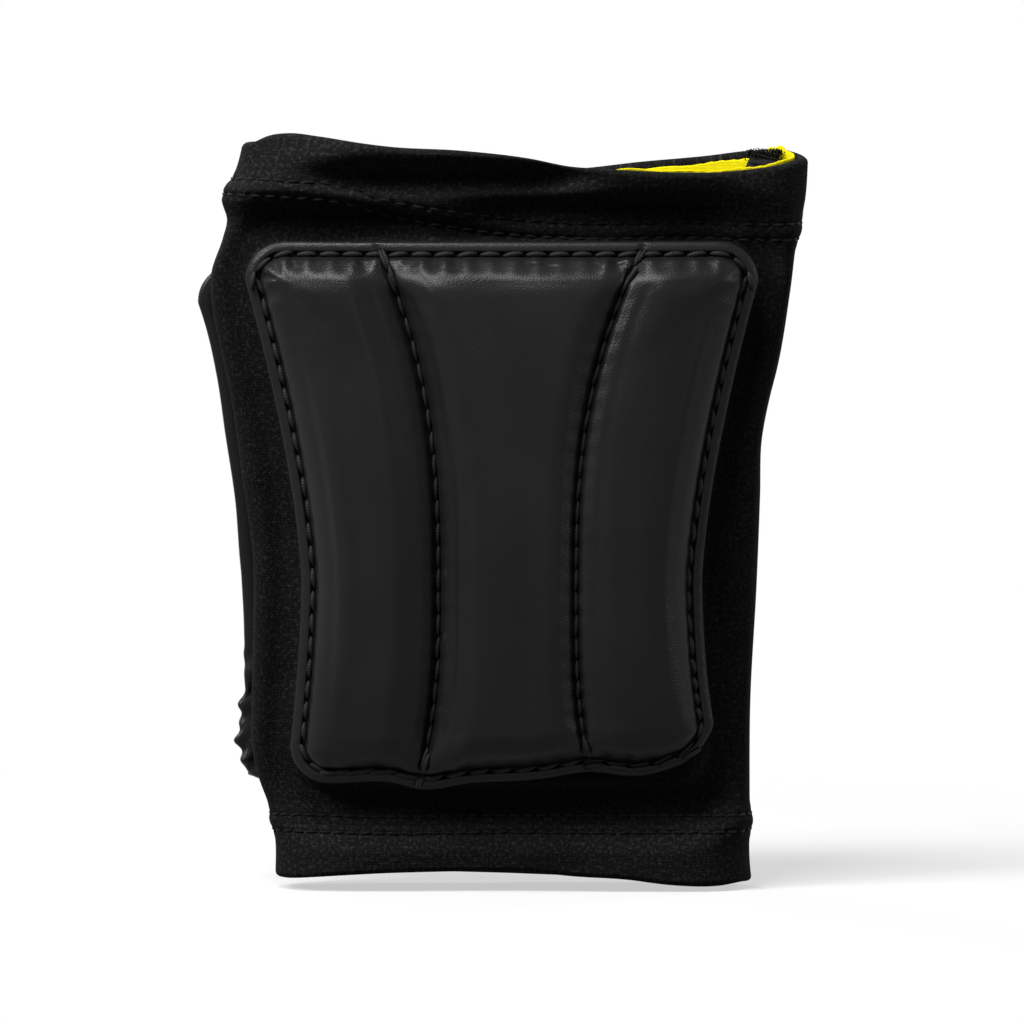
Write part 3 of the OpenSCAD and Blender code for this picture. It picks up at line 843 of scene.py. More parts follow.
def stitch_tree():
    """Geometry nodes: lays one bent, round-ended thread on each point, along `along` and out along `out`."""
    tree = bpy.data.node_groups.new("Stitches", "GeometryNodeTree")
    sockets = {
        "Geometry": "Geometry", "Stitch length": "Float", "Thread thickness": "Float", "Bow": "Float",
        "Slant": "Float", "Wobble": "Float", "Seed": "Int", "Thread": "Material",
    }
    for label, kind in sockets.items():
        tree.interface.new_socket(label, in_out="INPUT", socket_type="NodeSocket" + kind)
    tree.interface.new_socket("Geometry", in_out="OUTPUT", socket_type="NodeSocketGeometry")
    given = tree.nodes.new("NodeGroupInput").outputs
    # the thread: a short line, bowed up in the middle and thin at both ends
    line = add(tree, "GeometryNodeCurvePrimitiveLine", {"Start": (-0.5, 0, 0), "End": (0.5, 0, 0)})
    line = add(tree, "GeometryNodeResampleCurve", {"Curve": line.outputs[0], "Count": 9})
    factor = add(tree, "GeometryNodeSplineParameter").outputs["Factor"]
    centred = add(tree, "ShaderNodeMath", {0: factor, 1: 0.5}, operation="SUBTRACT").outputs[0]
    squared = add(tree, "ShaderNodeMath", {0: centred, 1: centred}, operation="MULTIPLY").outputs[0]
    arch = add(tree, "ShaderNodeMath", {0: squared, 1: -4.0, 2: 1.0}, operation="MULTIPLY_ADD").outputs[0]
    rise = add(tree, "ShaderNodeMath", {0: arch, 1: given["Bow"]}, operation="MULTIPLY").outputs[0]
    run = add(tree, "ShaderNodeMath", {0: centred, 1: given["Stitch length"]}, operation="MULTIPLY").outputs[0]
    place = add(tree, "ShaderNodeCombineXYZ", {"X": run, "Z": rise}).outputs[0]
    bowed = add(tree, "GeometryNodeSetPosition", {"Geometry": line.outputs[0], "Position": place})
    fine = add(tree, "ShaderNodeMath", {0: arch, 1: 0.36}, operation="POWER").outputs[0]
    half = add(tree, "ShaderNodeMath", {0: given["Thread thickness"], 1: 0.5}, operation="MULTIPLY").outputs[0]
    least = add(tree, "ShaderNodeMath", {0: fine, 1: 0.5}, operation="MAXIMUM").outputs[0]
    radius = add(tree, "ShaderNodeMath", {0: half, 1: least}, operation="MULTIPLY").outputs[0]
    along = add(tree, "GeometryNodeStoreNamedAttribute",
                {"Geometry": bowed.outputs[0], "Name": "thread_along", "Value": run},
                data_type="FLOAT", domain="POINT")
    ring = add(tree, "GeometryNodeCurvePrimitiveCircle", {"Resolution": 7, "Radius": 1.0})
    turn = add(tree, "GeometryNodeSplineParameter").outputs["Factor"]
    ring = add(tree, "GeometryNodeStoreNamedAttribute",
               {"Geometry": ring.outputs[0], "Name": "thread_round", "Value": turn},
               data_type="FLOAT", domain="POINT")
    thread = add(tree, "GeometryNodeCurveToMesh",
                 {"Curve": along.outputs[0], "Profile Curve": ring.outputs[0],
                  "Scale": radius, "Fill Caps": True})
    # one on each point, turned to the seam and a little unevenly slanted
    out = add(tree, "GeometryNodeInputNamedAttribute", {"Name": "out"}, data_type="FLOAT_VECTOR")
    way = add(tree, "GeometryNodeInputNamedAttribute", {"Name": "along"}, data_type="FLOAT_VECTOR")
    turned = add(tree, "FunctionNodeAxesToRotation",
                 {"Primary Axis": out.outputs[0], "Secondary Axis": way.outputs[0]},
                 primary_axis="Z", secondary_axis="X")
    mean, sway = given["Slant"], given["Wobble"]
    lowest = add(tree, "ShaderNodeMath", {0: mean, 1: sway}, operation="SUBTRACT").outputs[0]
    highest = add(tree, "ShaderNodeMath", {0: mean, 1: sway}, operation="ADD").outputs[0]
    slant = add(tree, "FunctionNodeRandomValue", {2: lowest, 3: highest, "Seed": given["Seed"]},
                data_type="FLOAT")
    spin = add(tree, "FunctionNodeAxisAngleToRotation", {"Axis": (0, 0, 1), "Angle": slant.outputs[1]})
    turned = add(tree, "FunctionNodeRotateRotation",
                 {"Rotation": turned.outputs[0], "Rotate By": spin.outputs[0]}, rotation_space="LOCAL")
    laid = add(tree, "GeometryNodeInstanceOnPoints",
               {"Points": given["Geometry"], "Instance": thread.outputs[0], "Rotation": turned.outputs[0]})
    real = add(tree, "GeometryNodeRealizeInstances", {"Geometry": laid.outputs[0]})
    shaded = add(tree, "GeometryNodeSetShadeSmooth", {0: real.outputs[0]})
    done = add(tree, "GeometryNodeSetMaterial", {"Geometry": shaded.outputs[0], "Material": given["Thread"]})
    add(tree, "NodeGroupOutput", {0: done.outputs[0]})
    return tree


def stitches(name, tree, points, along, out, thread, length, thickness, bow, slant=0.0, wobble=0.06, seed=1):
    """A plain mesh of threads laid on points in millimetres, made by the stitch nodes."""
    guide = make_mesh(name, points, [])
    for label, values in (("along", along), ("out", out)):
        layer = guide.data.attributes.new(label, "FLOAT_VECTOR", "POINT")
        layer.data.foreach_set("vector", np.asarray(values, np.float32).ravel())
    nodes = guide.modifiers.new("stitches", "NODES")
    nodes.node_group = tree
    values = {
        "Stitch length": length * MM, "Thread thickness": thickness * MM, "Bow": bow * MM,
        "Slant": slant, "Wobble": wobble, "Seed": seed, "Thread": thread,
    }
    for item in tree.interface.items_tree:
        if item.in_out == "INPUT" and item.name in values:
            nodes[item.identifier] = values[item.name]
    apply_modifier(guide, nodes)
    return guide


RAY_FROM = 50          # rays that look for the pad's face start this far in front of it
LEAN_OUT = 1.5         # threads on a steep flank lean this much towards the front, so that they lie on top


def surface_of(pad):
    """A function that finds the point and the outward normal of a pad's face at (x, h)."""
    tree = BVHTree.FromObject(pad, bpy.context.evaluated_depsgraph_get())

    def find(x, h):
        place, normal, _, _ = tree.ray_cast((x * MM, -RAY_FROM * MM, h * MM), (0, 1, 0))
        return np.array(place) / MM, np.array(normal)

    return find


def threads_along(find, line, closed, sink):
    """Places, ways and outward directions of stitches along a line of (x, h) points, one for each."""
    ahead, behind = np.roll(line, -1, 0), np.roll(line, 1, 0)
    if not closed:
        ahead[-1], behind[0] = line[-1], line[0]
    places, ways, outs = [], [], []
    for (x, h), way in zip(line, ahead - behind):
        place, normal = find(x, h)
        normal = normal + np.array([0, -LEAN_OUT, 0])
        normal /= np.linalg.norm(normal)
        places.append(place + normal * sink)
        ways.append([way[0], 0, way[1]])
        outs.append(normal)
    return np.array(places), unit(np.array(ways)), np.array(outs)


# Where the border is sewn twice: from and to across the pad, and how far up from its foot
SEWN_TWICE = ((16.5, 34.0, 0.95), (-31.0, -17.5, 1.35))


def border_stitches(name, tree, find, thread):
    """Heavy thread round the pad's turned edge, sewn twice along parts of the foot."""
    line = pad_loop(BORDER_INSET, BORDER_COUNT)[0]
    rows = [threads_along(find, line, True, 0.34)]
    for start, end, inset in SEWN_TWICE:
        count = round((end - start) / PAD_STITCH) + 1
        again = np.stack([np.linspace(start, end, count), np.full(count, inset)], 1)
        rows.append(threads_along(find, again, False, 0.15))
    rows = [np.concatenate(part) for part in zip(*rows)]
    return stitches(name, tree, *rows, thread, length=3.3, thickness=PAD_THREAD, bow=0.28,
                    slant=0.07, wobble=0.08, seed=3)


def channel_stitches(name, tree, find, thread):
    """Thread down both channel seams, from the foot's edge to the top's."""
    h = np.linspace(SEAM_LOW, SEAM_HIGH, SEAM_COUNT + 1)
    rows = [threads_along(find, np.stack([seam_x(h, s), h], 1), False, 0.10) for s in (-1, 1)]
    # each seam is fastened off by sewing back beside its two ends, 3 mm long
    for side in (-1, 1):
        for end in (SEAM_LOW + 1.6, SEAM_HIGH - 1.4):
            back = end + np.array([-1.5, 1.5])
            beside = np.stack([seam_x(back, side) + 0.55, back], 1)
            rows.append(threads_along(find, beside, False, 0.25))
    rows = [np.concatenate(part) for part in zip(*rows)]
    return stitches(name, tree, *rows, thread, length=3.7, thickness=PAD_THREAD * 0.8, bow=0.20,
                    slant=-0.05, wobble=0.06, seed=4)


def hem_stitches(name, tree, seam, thread, seed):
    """Both rows of coverstitch along a band's seam."""
    a = (np.arange(HEM_COUNT) + 0.5) / HEM_COUNT
    step = 0.3 / GIRTH
    # at the sharp side folds the thread lies deeper in the cloth
    folded = 1 - smooth(np.abs(section(a)[1]), 0.55, 0.95)
    places, ways, outs = [], [], []
    for up in (-ROW_GAUGE / 2, ROW_GAUGE / 2):
        z = seam(a) + up
        ahead, behind = (sleeve_outside(at, seam(at) + up) for at in (a + step, a - step))
        places.append(sleeve_point(a, z, 0.02 + 0.22 * folded))
        ways.append(ahead - behind)
        outs.append(sleeve_normal(a, z))
    places, ways, outs = (np.concatenate(k) for k in (places, ways, outs))
    return stitches(name, tree, places, ways, outs, thread, length=1.85, thickness=HEM_THREAD, bow=0.09,
                    wobble=0.20, seed=seed)


# ---------------------------------------------------------------- side seam inside the sleeve
def back_share(across):
    """Share of the girth at which the back wall is at a given part of its half width."""
    half = SECTION_STEPS // 2
    x = SECTION_X[half:]
    return 0.5 + np.interp(-across, -x, np.arange(len(x))) / SECTION_STEPS


SEAM_A = back_share(0.955)
SEAM_MIDDLE = SEAM_A + ALLOWANCE_W / 2 / GIRTH
SEAM_TOP = float(top_end(SEAM_MIDDLE)) - 0.6


def seam_lip(z):
    """Gentle waver of the allowance along the sleeve."""
    return 0.5 * np.sin(z / 9.0) + 0.3 * np.sin(z / 3.7 + 1)


ALLOWANCE_ROWS, ALLOWANCE_ROUND = 120, 18     # points along the allowance and round it


def seam_allowance(name):
    """The overlocked allowance: a soft flattened roll down the inside of the back wall."""
    rows, round_steps = ALLOWANCE_ROWS, ALLOWANCE_ROUND
    f = 2 * math.pi * np.arange(round_steps) / round_steps
    width = np.sign(np.cos(f)) * np.abs(np.cos(f)) ** 0.6
    thick = np.sign(np.sin(f)) * np.abs(np.sin(f)) ** 0.7
    low, high = 0.15, SEAM_TOP + 0.1
    t = np.linspace(0, 1, rows)[:, None]
    # the roll closes in over the last two rows at each end
    end = np.sqrt(np.clip(1 - np.clip(np.abs(2 * t - 1) * rows / 2 - rows / 2 + 2, 0, 2) ** 2 / 4.4, 0, 1))
    z = low + (high - low) * t + 0 * f
    a = SEAM_MIDDLE + (ALLOWANCE_W / 2 * width * end + seam_lip(z)) / GIRTH
    depth = WALL + 0.08 + ALLOWANCE_T / 2 - ALLOWANCE_T / 2 * thick * end
    points = sleeve_point(a, z, depth).reshape(-1, 3)
    quads = grid_faces(rows, round_steps, False, True)
    first = np.arange(round_steps)
    caps = [first[::-1].tolist(), (first + (rows - 1) * round_steps).tolist()]
    return make_mesh(name, points, quads[:, ::-1].tolist() + caps)


FIBRES = 520           # cut yarn ends that stand out of the seam's edge


def overlock_threads(name, tree, thread):
    """Overlock loops across the allowance's face, and cut fibres that stand out of its edge and ends."""
    rng = np.random.default_rng(21)
    z = np.arange(1.2, SEAM_TOP - 0.6, 1.5)
    a = SEAM_MIDDLE + seam_lip(z) / GIRTH
    depth = np.full(len(z), WALL + ALLOWANCE_T + 0.12)
    places = sleeve_point(a, z, depth)
    outs = -sleeve_normal(a, z)
    ways = sleeve_point(a + 0.01, z + 0.35, depth) - sleeve_point(a - 0.01, z - 0.35, depth)
    loops = stitches(name, tree, places, ways, outs, thread, length=6.3, thickness=0.5, bow=0.05,
                     wobble=0.16, seed=6)
    at_top = SEAM_TOP + rng.uniform(-0.7, 0.5, FIBRES)
    z = np.where(rng.random(FIBRES) < 0.4, at_top, rng.uniform(0.6, SEAM_TOP, FIBRES))
    a = SEAM_MIDDLE + (rng.uniform(-0.5, 0.5, FIBRES) * ALLOWANCE_W) / GIRTH
    far = z < SEAM_TOP - 0.7
    a = np.where(far, SEAM_MIDDLE + (ALLOWANCE_W / 2 + rng.uniform(-0.4, 0.3, FIBRES)) / GIRTH, a)
    depth = WALL + rng.uniform(0.1, ALLOWANCE_T + 0.3, FIBRES)
    places = sleeve_point(a, z, depth)
    ways, outs = rng.normal(size=(FIBRES, 3)), rng.normal(size=(FIBRES, 3))
    fibres = stitches(name + "_fibres", tree, places, ways, outs, thread, length=1.0, thickness=0.18, bow=0.2,
                      wobble=0.5, seed=7)
    return join([loops, fibres], name)


def join(objects, name):
    """Joins mesh objects into the first one."""
    with bpy.context.temp_override(active_object=objects[0], selected_editable_objects=objects):
        bpy.ops.object.join()
    objects[0].name = objects[0].data.name = name
    return objects[0]


# ---------------------------------------------------------------- materials
def linear(code):
    """An sRGB hex colour as linear RGBA."""
    parts = [int(code[i:i + 2], 16) / 255 for i in (1, 3, 5)]
    return [c / 12.92 if c <= 0.04045 else ((c + 0.055) / 1.055) ** 2.4 for c in parts] + [1.0]


def start_material(name):
    """A new material and its empty node tree."""
    material = bpy.data.materials.new(name)
    material.use_nodes = True
    material.node_tree.nodes.clear()
    return material, material.node_tree


def finish_material(material, height, strength, depth, inputs):
    """Ends a material in one Principled shader, with a relief that is depth metres deep."""
    tree = material.node_tree
    relief = add(tree, "ShaderNodeBump", {"Height": height, "Strength": strength, "Distance": depth})
    shader = add(tree, "ShaderNodeBsdfPrincipled", inputs | {"Normal": relief.outputs[0]})
    add(tree, "ShaderNodeOutputMaterial", {"Surface": shader.outputs[0]})
    return material


def graded(tree, value, start, end, low, high, most=1.0):
    """A colour that goes from low to high, or part of the way, as a value goes from start to end."""
    share = add(tree, "ShaderNodeMapRange", {0: value, 1: start, 2: end, 4: most},
                interpolation_type="SMOOTHSTEP")
    return add(tree, "ShaderNodeMix", {0: share.outputs[0], 6: low, 7: high}, data_type="RGBA").outputs[2]


def jersey(name, dark, light, fleck, fleck_from, sheen, tint):
    """Fine plain-knit jersey: rows of small V loops, matt, with a soft bloom at a low angle."""
    material, tree = start_material(name)
    uv = add(tree, "ShaderNodeUVMap", uv_map="cloth").outputs[0]
    # a loop is about 0.4 mm wide; drawn 0.55 mm wide so that it shows
    loops = add(tree, "ShaderNodeMapping", {"Vector": uv, "Scale": (1 / 0.00055, 1 / 0.0005, 1)}).outputs[0]
    u, v, _ = add(tree, "ShaderNodeSeparateXYZ", {0: loops}).outputs
    leg = add(tree, "ShaderNodeMath", {0: u, 1: 0.5}, operation="PINGPONG").outputs[0]
    slope = add(tree, "ShaderNodeMath", {0: leg, 1: 1.3, 2: v}, operation="MULTIPLY_ADD").outputs[0]
    course = add(tree, "ShaderNodeMath", {0: slope, 1: 0.5}, operation="PINGPONG").outputs[0]
    wale = add(tree, "ShaderNodeMath", {0: leg, 1: 0.25}, operation="PINGPONG").outputs[0]
    loop = add(tree, "ShaderNodeMath", {0: course, 1: wale}, operation="ADD").outputs[0]
    # the yarn is a little thick and thin
    yarn = add(tree, "ShaderNodeTexNoise", {"Vector": uv, "Scale": 1 / 0.0011, "Detail": 3.0}).outputs[0]
    speck = add(tree, "ShaderNodeTexNoise",
                {"Vector": uv, "Scale": 1 / 0.0007, "Detail": 4.0, "Roughness": 0.68}).outputs[0]
    broad = add(tree, "ShaderNodeTexNoise", {"Vector": uv, "Scale": 1 / 0.03, "Detail": 2.0}).outputs[0]
    tone = add(tree, "ShaderNodeMath", {0: loop, 1: yarn}, operation="MULTIPLY").outputs[0]
    colour = graded(tree, tone, 0.05, 0.55, linear(dark), linear(light))
    colour = graded(tree, broad, 0.35, 0.75, colour, linear(tint), 0.35)
    colour = graded(tree, speck, fleck_from, fleck_from + 0.3, colour, linear(fleck))
    height = add(tree, "ShaderNodeMath", {0: yarn, 1: 0.5, 2: loop}, operation="MULTIPLY_ADD").outputs[0]
    return finish_material(material, height, 0.45, 0.00022, {
        "Base Color": colour, "Roughness": 0.88, "Specular IOR Level": 0.02,
        "Sheen Weight": sheen, "Sheen Roughness": 0.55, "Sheen Tint": linear(light),
    })


def satin_leather():
    """Polyurethane-coated leather, pressed smooth: a wide soft gloss over very fine pores."""
    material, tree = start_material("satin polyurethane leather")
    place = add(tree, "ShaderNodeTexCoord").outputs["Object"]
    # pores are about 0.3 mm apart; drawn 0.55 mm apart so that they show
    pores = add(tree, "ShaderNodeTexVoronoi", {"Vector": place, "Scale": 1 / 0.00055, "Randomness": 0.9},
                feature="DISTANCE_TO_EDGE").outputs[0]
    crease = add(tree, "ShaderNodeTexNoise", {"Vector": place, "Scale": 1 / 0.006, "Detail": 4.0}).outputs[0]
    handled = add(tree, "ShaderNodeTexNoise", {"Vector": place, "Scale": 1 / 0.022, "Detail": 3.0}).outputs[0]
    grain = add(tree, "ShaderNodeMapRange", {0: pores, 2: 0.22}, interpolation_type="SMOOTHSTEP").outputs[0]
    height = add(tree, "ShaderNodeMath", {0: crease, 1: 2.2, 2: grain}, operation="MULTIPLY_ADD").outputs[0]
    colour = graded(tree, handled, 0.3, 0.7, linear("#0f0f0f"), linear("#131313"))
    # the colour is a little paler on the sharpest convex folds, where the edge is turned hard
    folded = add(tree, "ShaderNodeNewGeometry").outputs["Pointiness"]
    colour = graded(tree, folded, 0.53, 0.62, colour, linear("#2a2a2a"), 0.25)
    rough = add(tree, "ShaderNodeMapRange", {0: handled, 1: 0.25, 2: 0.75, 3: 0.29, 4: 0.35},
                interpolation_type="SMOOTHSTEP").outputs[0]
    return finish_material(material, height, 0.22, 0.00007, {
        "Base Color": colour, "Roughness": rough, "IOR": 1.5, "Specular IOR Level": 0.10,
    })


def sewing_thread(name, dark, light, specular):
    """Twisted polyester thread: two plies, a dull gloss along each turn."""
    material, tree = start_material(name)
    run = add(tree, "ShaderNodeAttribute", attribute_name="thread_along").outputs["Fac"]
    turn = add(tree, "ShaderNodeAttribute", attribute_name="thread_round").outputs["Fac"]
    # one turn of the plies each 0.9 mm
    wound = add(tree, "ShaderNodeMath", {0: run, 1: 2 / 0.0009, 2: turn}, operation="MULTIPLY_ADD").outputs[0]
    ply = add(tree, "ShaderNodeMath", {0: wound, 1: 0.5}, operation="PINGPONG").outputs[0]
    place = add(tree, "ShaderNodeTexCoord").outputs["Object"]
    fibre = add(tree, "ShaderNodeTexNoise", {"Vector": place, "Scale": 1 / 0.0003, "Detail": 2.0}).outputs[0]
    height = add(tree, "ShaderNodeMath", {0: fibre, 1: 0.25, 2: ply}, operation="MULTIPLY_ADD").outputs[0]
    colour = graded(tree, height, 0.1, 0.6, linear(dark), linear(light))
    return finish_material(material, height, 0.7, 0.00012, {
        "Base Color": colour, "Roughness": 0.58, "Specular IOR Level": specular,
    })


def foam(name, dark, light, cell_mm):
    """Foam: open or closed cells, seen as small pits with darker walls, and no gloss."""
    material, tree = start_material(name)
    place = add(tree, "ShaderNodeTexCoord").outputs["Object"]
    cells = add(tree, "ShaderNodeTexVoronoi", {"Vector": place, "Scale": 1000 / cell_mm}).outputs["Distance"]
    soft = add(tree, "ShaderNodeTexNoise", {"Vector": place, "Scale": 1 / 0.004, "Detail": 3.0}).outputs[0]
    tone = add(tree, "ShaderNodeMath", {0: cells, 1: soft}, operation="MULTIPLY").outputs[0]
    colour = graded(tree, tone, 0.05, 0.5, linear(light), linear(dark))
    return finish_material(material, cells, 0.5, 0.0002, {
        "Base Color": colour, "Roughness": 0.95, "Specular IOR Level": 0.1,
    })


def woven_backing():
    """Plain-woven nylon: over-and-under yarns, matt with a faint glint on each crossing."""
    material, tree = start_material("plain woven nylon")
    place = add(tree, "ShaderNodeTexCoord").outputs["Object"]
    # yarns 0.8 mm apart
    weave = add(tree, "ShaderNodeMapping", {"Vector": place, "Scale": [1 / 0.0008] * 3}).outputs[0]
    checks = add(tree, "ShaderNodeTexChecker", {"Vector": weave, "Scale": 1.0}).outputs[1]
    x, _, z = add(tree, "ShaderNodeSeparateXYZ", {0: weave}).outputs
    over = add(tree, "ShaderNodeMath", {0: x, 1: 0.5}, operation="PINGPONG").outputs[0]
    under = add(tree, "ShaderNodeMath", {0: z, 1: 0.5}, operation="PINGPONG").outputs[0]
    height = add(tree, "ShaderNodeMath", {0: over, 1: under}, operation="MULTIPLY").outputs[0]
    colour = add(tree, "ShaderNodeMix", {0: checks, 6: linear("#141415"), 7: linear("#202022")},
                 data_type="RGBA").outputs[2]
    return finish_material(material, height, 0.6, 0.0002, {
        "Base Color": colour, "Roughness": 0.8, "Specular IOR Level": 0.2,
    })


def polypropylene():
    """Punched polypropylene sheet: milky, waxy, with faint flow marks."""
    material, tree = start_material("punched polypropylene sheet")
    place = add(tree, "ShaderNodeTexCoord").outputs["Object"]
    # the marks are 2.5 mm wide and 17 mm long
    flow = add(tree, "ShaderNodeMapping", {"Vector": place, "Scale": (400, 400, 60)}).outputs[0]
    marks = add(tree, "ShaderNodeTexNoise", {"Vector": flow, "Scale": 1.0, "Detail": 3.0}).outputs[0]
    colour = add(tree, "ShaderNodeMix", {0: marks, 6: linear("#d2d2ce"), 7: linear("#e0e0dc")},
                 data_type="RGBA").outputs[2]
    return finish_material(material, marks, 0.3, 0.00005, {"Base Color": colour, "Roughness": 0.45})


def set_material(obj, material):
    obj.data.materials.clear()
    obj.data.materials.append(material)


# ---------------------------------------------------------------- studio
def seen_directly(tree):
    """1 for camera, glossy and transmitted rays, which see the white surroundings."""
    path = add(tree, "ShaderNodeLightPath").outputs
    seen = path["Is Camera Ray"]
    for ray in ("Is Glossy Ray", "Is Transmission Ray"):
        seen = add(tree, "ShaderNodeMath", {0: seen, 1: path[ray]}, operation="MAXIMUM").outputs[0]
    return seen


WORLD_LIGHT = 0.055     # how strongly the surroundings light the object


def make_world():
    """White surroundings to look at, which light the object only a little."""
    world = bpy.data.worlds.new("studio")
    bpy.context.scene.world = world
    world.use_nodes = True
    tree = world.node_tree
    tree.nodes.clear()
    white = add(tree, "ShaderNodeMapRange", {0: seen_directly(tree), 3: WORLD_LIGHT},
                interpolation_type="SMOOTHSTEP").outputs[0]
    light = add(tree, "ShaderNodeBackground", {"Color": (1, 1, 1, 1), "Strength": white})
    add(tree, "ShaderNodeOutputWorld", {"Surface": light.outputs[0]})


FLOOR_HALF = 6000      # the floor reaches this far from the object, in millimetres


def make_floor():
    """A pale floor that keeps the shadow by the object and fades to plain white further off."""
    corners = [(x * FLOOR_HALF, y * FLOOR_HALF, 0) for x, y in ((-1, -1), (1, -1), (1, 1), (-1, 1))]
    floor = make_mesh("floor", corners, [(0, 1, 2, 3)])
    material, tree = start_material("pale studio floor")
    place = add(tree, "ShaderNodeTexCoord").outputs["Object"]
    far = add(tree, "ShaderNodeVectorMath", {0: place}, operation="LENGTH").outputs["Value"]
    # a pale floor to look at, which throws little light back up under the object
    seen = seen_directly(tree)
    colour = add(tree, "ShaderNodeMix", {0: seen, 6: linear("#4c4c4c"), 7: linear("#b4b4b4")},
                 data_type="RGBA").outputs[2]
    matt = add(tree, "ShaderNodeBsdfPrincipled",
               {"Base Color": colour, "Roughness": 0.9, "Specular IOR Level": 0.0}).outputs[0]
    glow = add(tree, "ShaderNodeEmission", {"Color": (1, 1, 1, 1), "Strength": 1.0}).outputs[0]
    # close by, the floor's own pale grey is mixed in, so that the shadow stays
    share = add(tree, "ShaderNodeMapRange", {0: far, 1: 0.06, 2: 0.24, 3: 0.55},
                interpolation_type="SMOOTHSTEP").outputs[0]
    fade = add(tree, "ShaderNodeMath", {0: share, 1: seen}, operation="MULTIPLY").outputs[0]
    both = add(tree, "ShaderNodeMixShader", {0: fade, 1: matt, 2: glow}).outputs[0]
    add(tree, "ShaderNodeOutputMaterial", {"Surface": both})
    set_material(floor, material)


AIM = np.array([2.3 * MM, 0, 67.8 * MM])     # the point that the camera and the lamps face
CAMERA_UP, CAMERA_AWAY = math.radians(4), 2.048     # its elevation, and its distance in metres
# Each lamp's azimuth and elevation in degrees, its distance, width and height in metres, and its share.
# A share of 1 lights a facing surface to its own colour.
SOFTBOXES = {
    "left softbox": (-58, 38, 0.9, 0.30, 0.40, 1.55),
    "right strip": (76, 14, 0.9, 0.08, 0.40, 0.20),
    "top softbox": (-28, 66, 0.9, 0.36, 0.25, 1.35),
    "front fill": (10, 12, 1.4, 0.40, 0.30, 0.04),
    "back left softbox": (-145, 34, 0.9, 0.24, 0.50, 0.55),
    "back right softbox": (130, 28, 0.9, 0.15, 0.50, 0.30),
}


def make_lights():
    """Rectangular softboxes, each aimed at the object."""
    for name, (azimuth, elevation, distance, width, height, share) in SOFTBOXES.items():
        lamp = bpy.data.lights.new(name, "AREA")
        lamp.shape = "RECTANGLE"
        lamp.size, lamp.size_y = width, height
        lamp.energy = share * math.pi**2 * distance**2
        obj = new_object(name, lamp)
        az, el = math.radians(azimuth), math.radians(elevation)
        away = np.array([math.sin(az) * math.cos(el), -math.cos(az) * math.cos(el), math.sin(el)])
        obj.location = AIM + away * distance
        obj.rotation_euler = (math.pi / 2 - el, 0, az)


def make_camera():
    """A long lens a little above level, in front of the object."""
    camera = bpy.data.cameras.new("camera")
    camera.lens, camera.sensor_width = 400, 36
    camera.clip_start, camera.clip_end = 0.05, 20
    obj = new_object("camera", camera)
    obj.location = AIM + np.array([0, -math.cos(CAMERA_UP), math.sin(CAMERA_UP)]) * CAMERA_AWAY
    obj.rotation_euler = (math.pi / 2 - CAMERA_UP, 0, 0)
    bpy.context.scene.camera = obj


# ---------------------------------------------------------------- putting it together
bpy.context.scene.view_settings.view_transform = "Standard"
make_camera()
make_world()
make_floor()
make_lights()

KNIT = jersey("black plain-knit jersey", "#0a0a0a", "#101010", "#252525", 0.46, 0.02, "#0d0d0d")
BAND = jersey("black band jersey", "#0d0d0d", "#141414", "#2b2b2b", 0.46, 0.03, "#101010")
LINING = jersey("yellow plain-knit jersey", "#b0a40a", "#d6c916", "#e2d53c", 0.60, 0.08, "#c4b710")
LEATHER = satin_leather()
THREAD = sewing_thread("black bonded polyester thread", "#060606", "#161616", 0.10)
HEM_LOOK = sewing_thread("black spun polyester thread", "#050505", "#111111", 0.05)
CORE_FOAM = foam("black closed-cell neoprene foam", "#0d0d0e", "#222224", 0.35)
PAD_FOAM = foam("grey open-cell polyurethane foam", "#6d6d70", "#98989b", 0.7)
BACKING = woven_backing()
STAY = polypropylene()


def on_sleeve(obj, node, material):
    """Gives a sleeve piece its finish, keeps its place in its own points and hides the CAD part that it stands
    for.
    """
    set_material(obj, material)
    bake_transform(obj)
    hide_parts(node)


def sleeve_layer(node, low, high, depths, rows, material, rounds=(1, 1), top_noise=None):
    """One closed layer of the sleeve, built on the sleeve's shape, with its finish."""
    obj = sleeve_ring("cloth_" + node, low, high, *depths, rows, rounds, top_noise)
    on_sleeve(obj, node, material)


def ragged(at):
    """Uneven cut edge of the lining."""
    return 0.05 * np.sin(at * 2.9) + 0.05 * np.sin(at * 6.1 + 1) + 0.10 * np.sin(at * 0.7 + 2)


def lining_top(a):
    """The lining shows above the rim at the right, and stops below it at the left and along the back."""
    above = smooth(a, 0.28, 0.34) * (1 - smooth(a, 0.535, 0.56))
    # two cut ends of it stand up behind the side seam
    tufts = sum(bump((np.asarray(a) - back_share(across)) * GIRTH, 0, 1.0) for across in (0.886, 0.935))
    return top_end(a) - RIM_TURN + (RIM_TURN + 0.3) * above + (RIM_TURN - 0.55) * tufts


# Depths of each layer's two faces below the sleeve's outer face
KNIT_D, BAND_D = (0, KNIT_T), (0, LINING_IN - LAYER_GAP)
CORE_D, LINING_D = (CORE_IN, LINING_IN - LAYER_GAP), (LINING_IN, WALL)
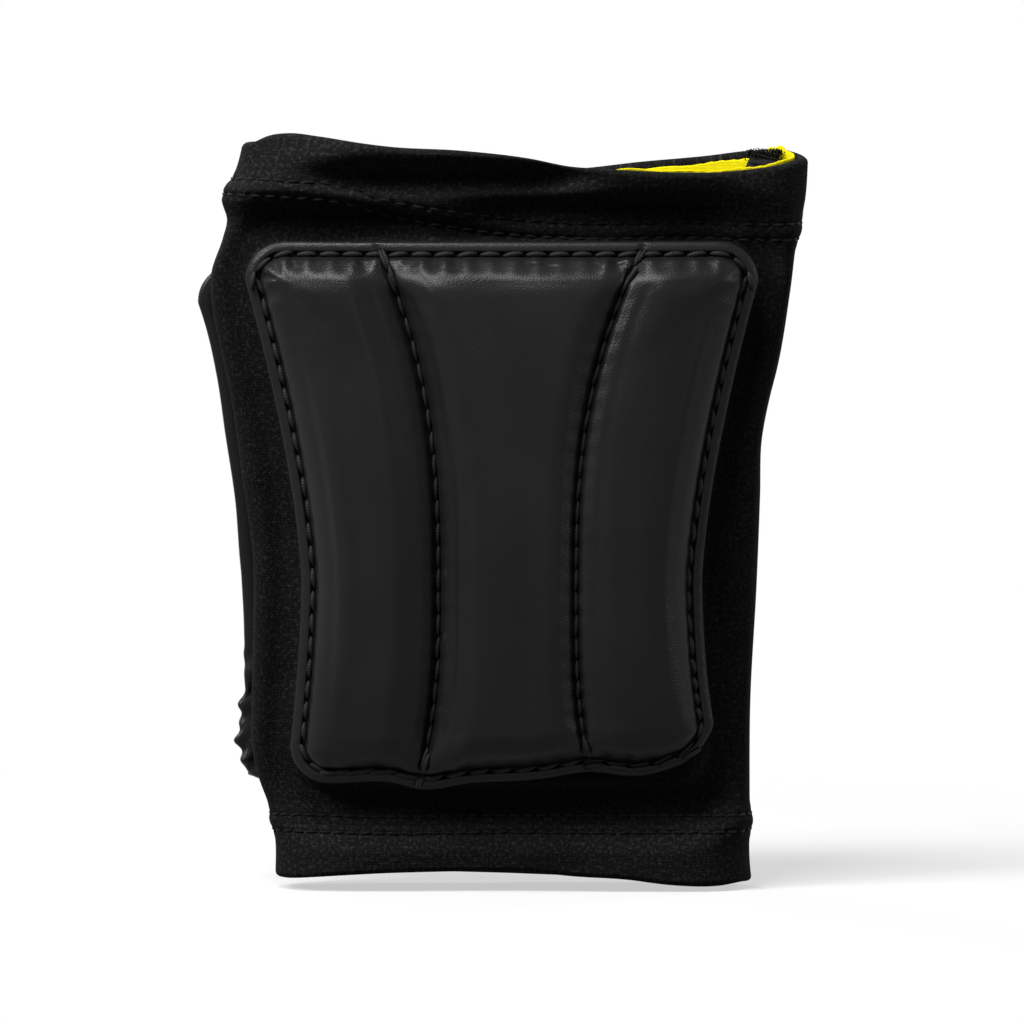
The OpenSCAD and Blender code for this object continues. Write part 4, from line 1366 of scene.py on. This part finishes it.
# The layers of the tube, the forearm band and the wrist band, each between its low and its high edge
sleeve_layer("sleeve_outer_knit", low_seam, top_seam, KNIT_D, 170, KNIT, (0.05, 0.05))
sleeve_layer("sleeve_foam_core", low_seam, top_seam, CORE_D, 60, CORE_FOAM, (0.01, 0.01))
sleeve_layer("sleeve_lining", lambda a: low_seam(a) + BOND, lambda a: top_seam(a) - BOND,
             LINING_D, 60, LINING, (0.3, 0.3))
sleeve_layer("top_band", top_seam, top_end, BAND_D, 46, BAND, (0.01, 0.8))
sleeve_layer("top_band_lining", top_seam, lining_top, LINING_D, 20, LINING,
             (0.3, 1), ragged)
sleeve_layer("bottom_band", low_end, low_seam, BAND_D, 40, BAND, (0.8, 0.01))
sleeve_layer("bottom_band_lining", lambda a: low_end(a) + 2.0, low_seam,
             LINING_D, 16, LINING)

TREE = stitch_tree()
for end, seam, seed in (("top", top_seam, 1), ("bottom", low_seam, 2)):
    on_sleeve(hem_stitches(f"thread_{end}_seam", TREE, seam, HEM_LOOK, seed),
              f"{end}_seam_stitches", HEM_LOOK)
on_sleeve(seam_allowance("cloth_side_seam_allowance"), "side_seam_allowance", CORE_FOAM)
on_sleeve(overlock_threads("thread_side_seam_overlock", TREE, HEM_LOOK),
          "side_seam_overlock", HEM_LOOK)

PAD = pad_cover("cover_master")
FIND = surface_of(PAD)
# Each part of a pad in the pad's own place, its slot and its material
PAD_PARTS = {
    "cover": (PAD, "cover_leather", LEATHER),
    "backing": (backing_panel("backing_master"), "backing_cloth", BACKING),
    **{f"foam_{at}": (foam_strip(f"foam_{at}_master", at), "pad_foam", PAD_FOAM) for at in FOAM_BASE},
    "border_stitches": (border_stitches("border_master", TREE, FIND, THREAD), "sewing_thread", THREAD),
    "channel_stitches": (channel_stitches("channel_master", TREE, FIND, THREAD), "sewing_thread", THREAD),
}
for pad, (place, body) in PLACES.items():
    for part, (master, slot, material) in PAD_PARTS.items():
        piece = copy_of(master, f"{pad}_{part}_sewn", place)
        set_material(piece, material)
        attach(piece, body)
        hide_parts(f"{pad}_{part}")
    set_material(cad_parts[f"{pad}_stay"], STAY)
for master, _, _ in PAD_PARTS.values():
    bpy.data.objects.remove(master)
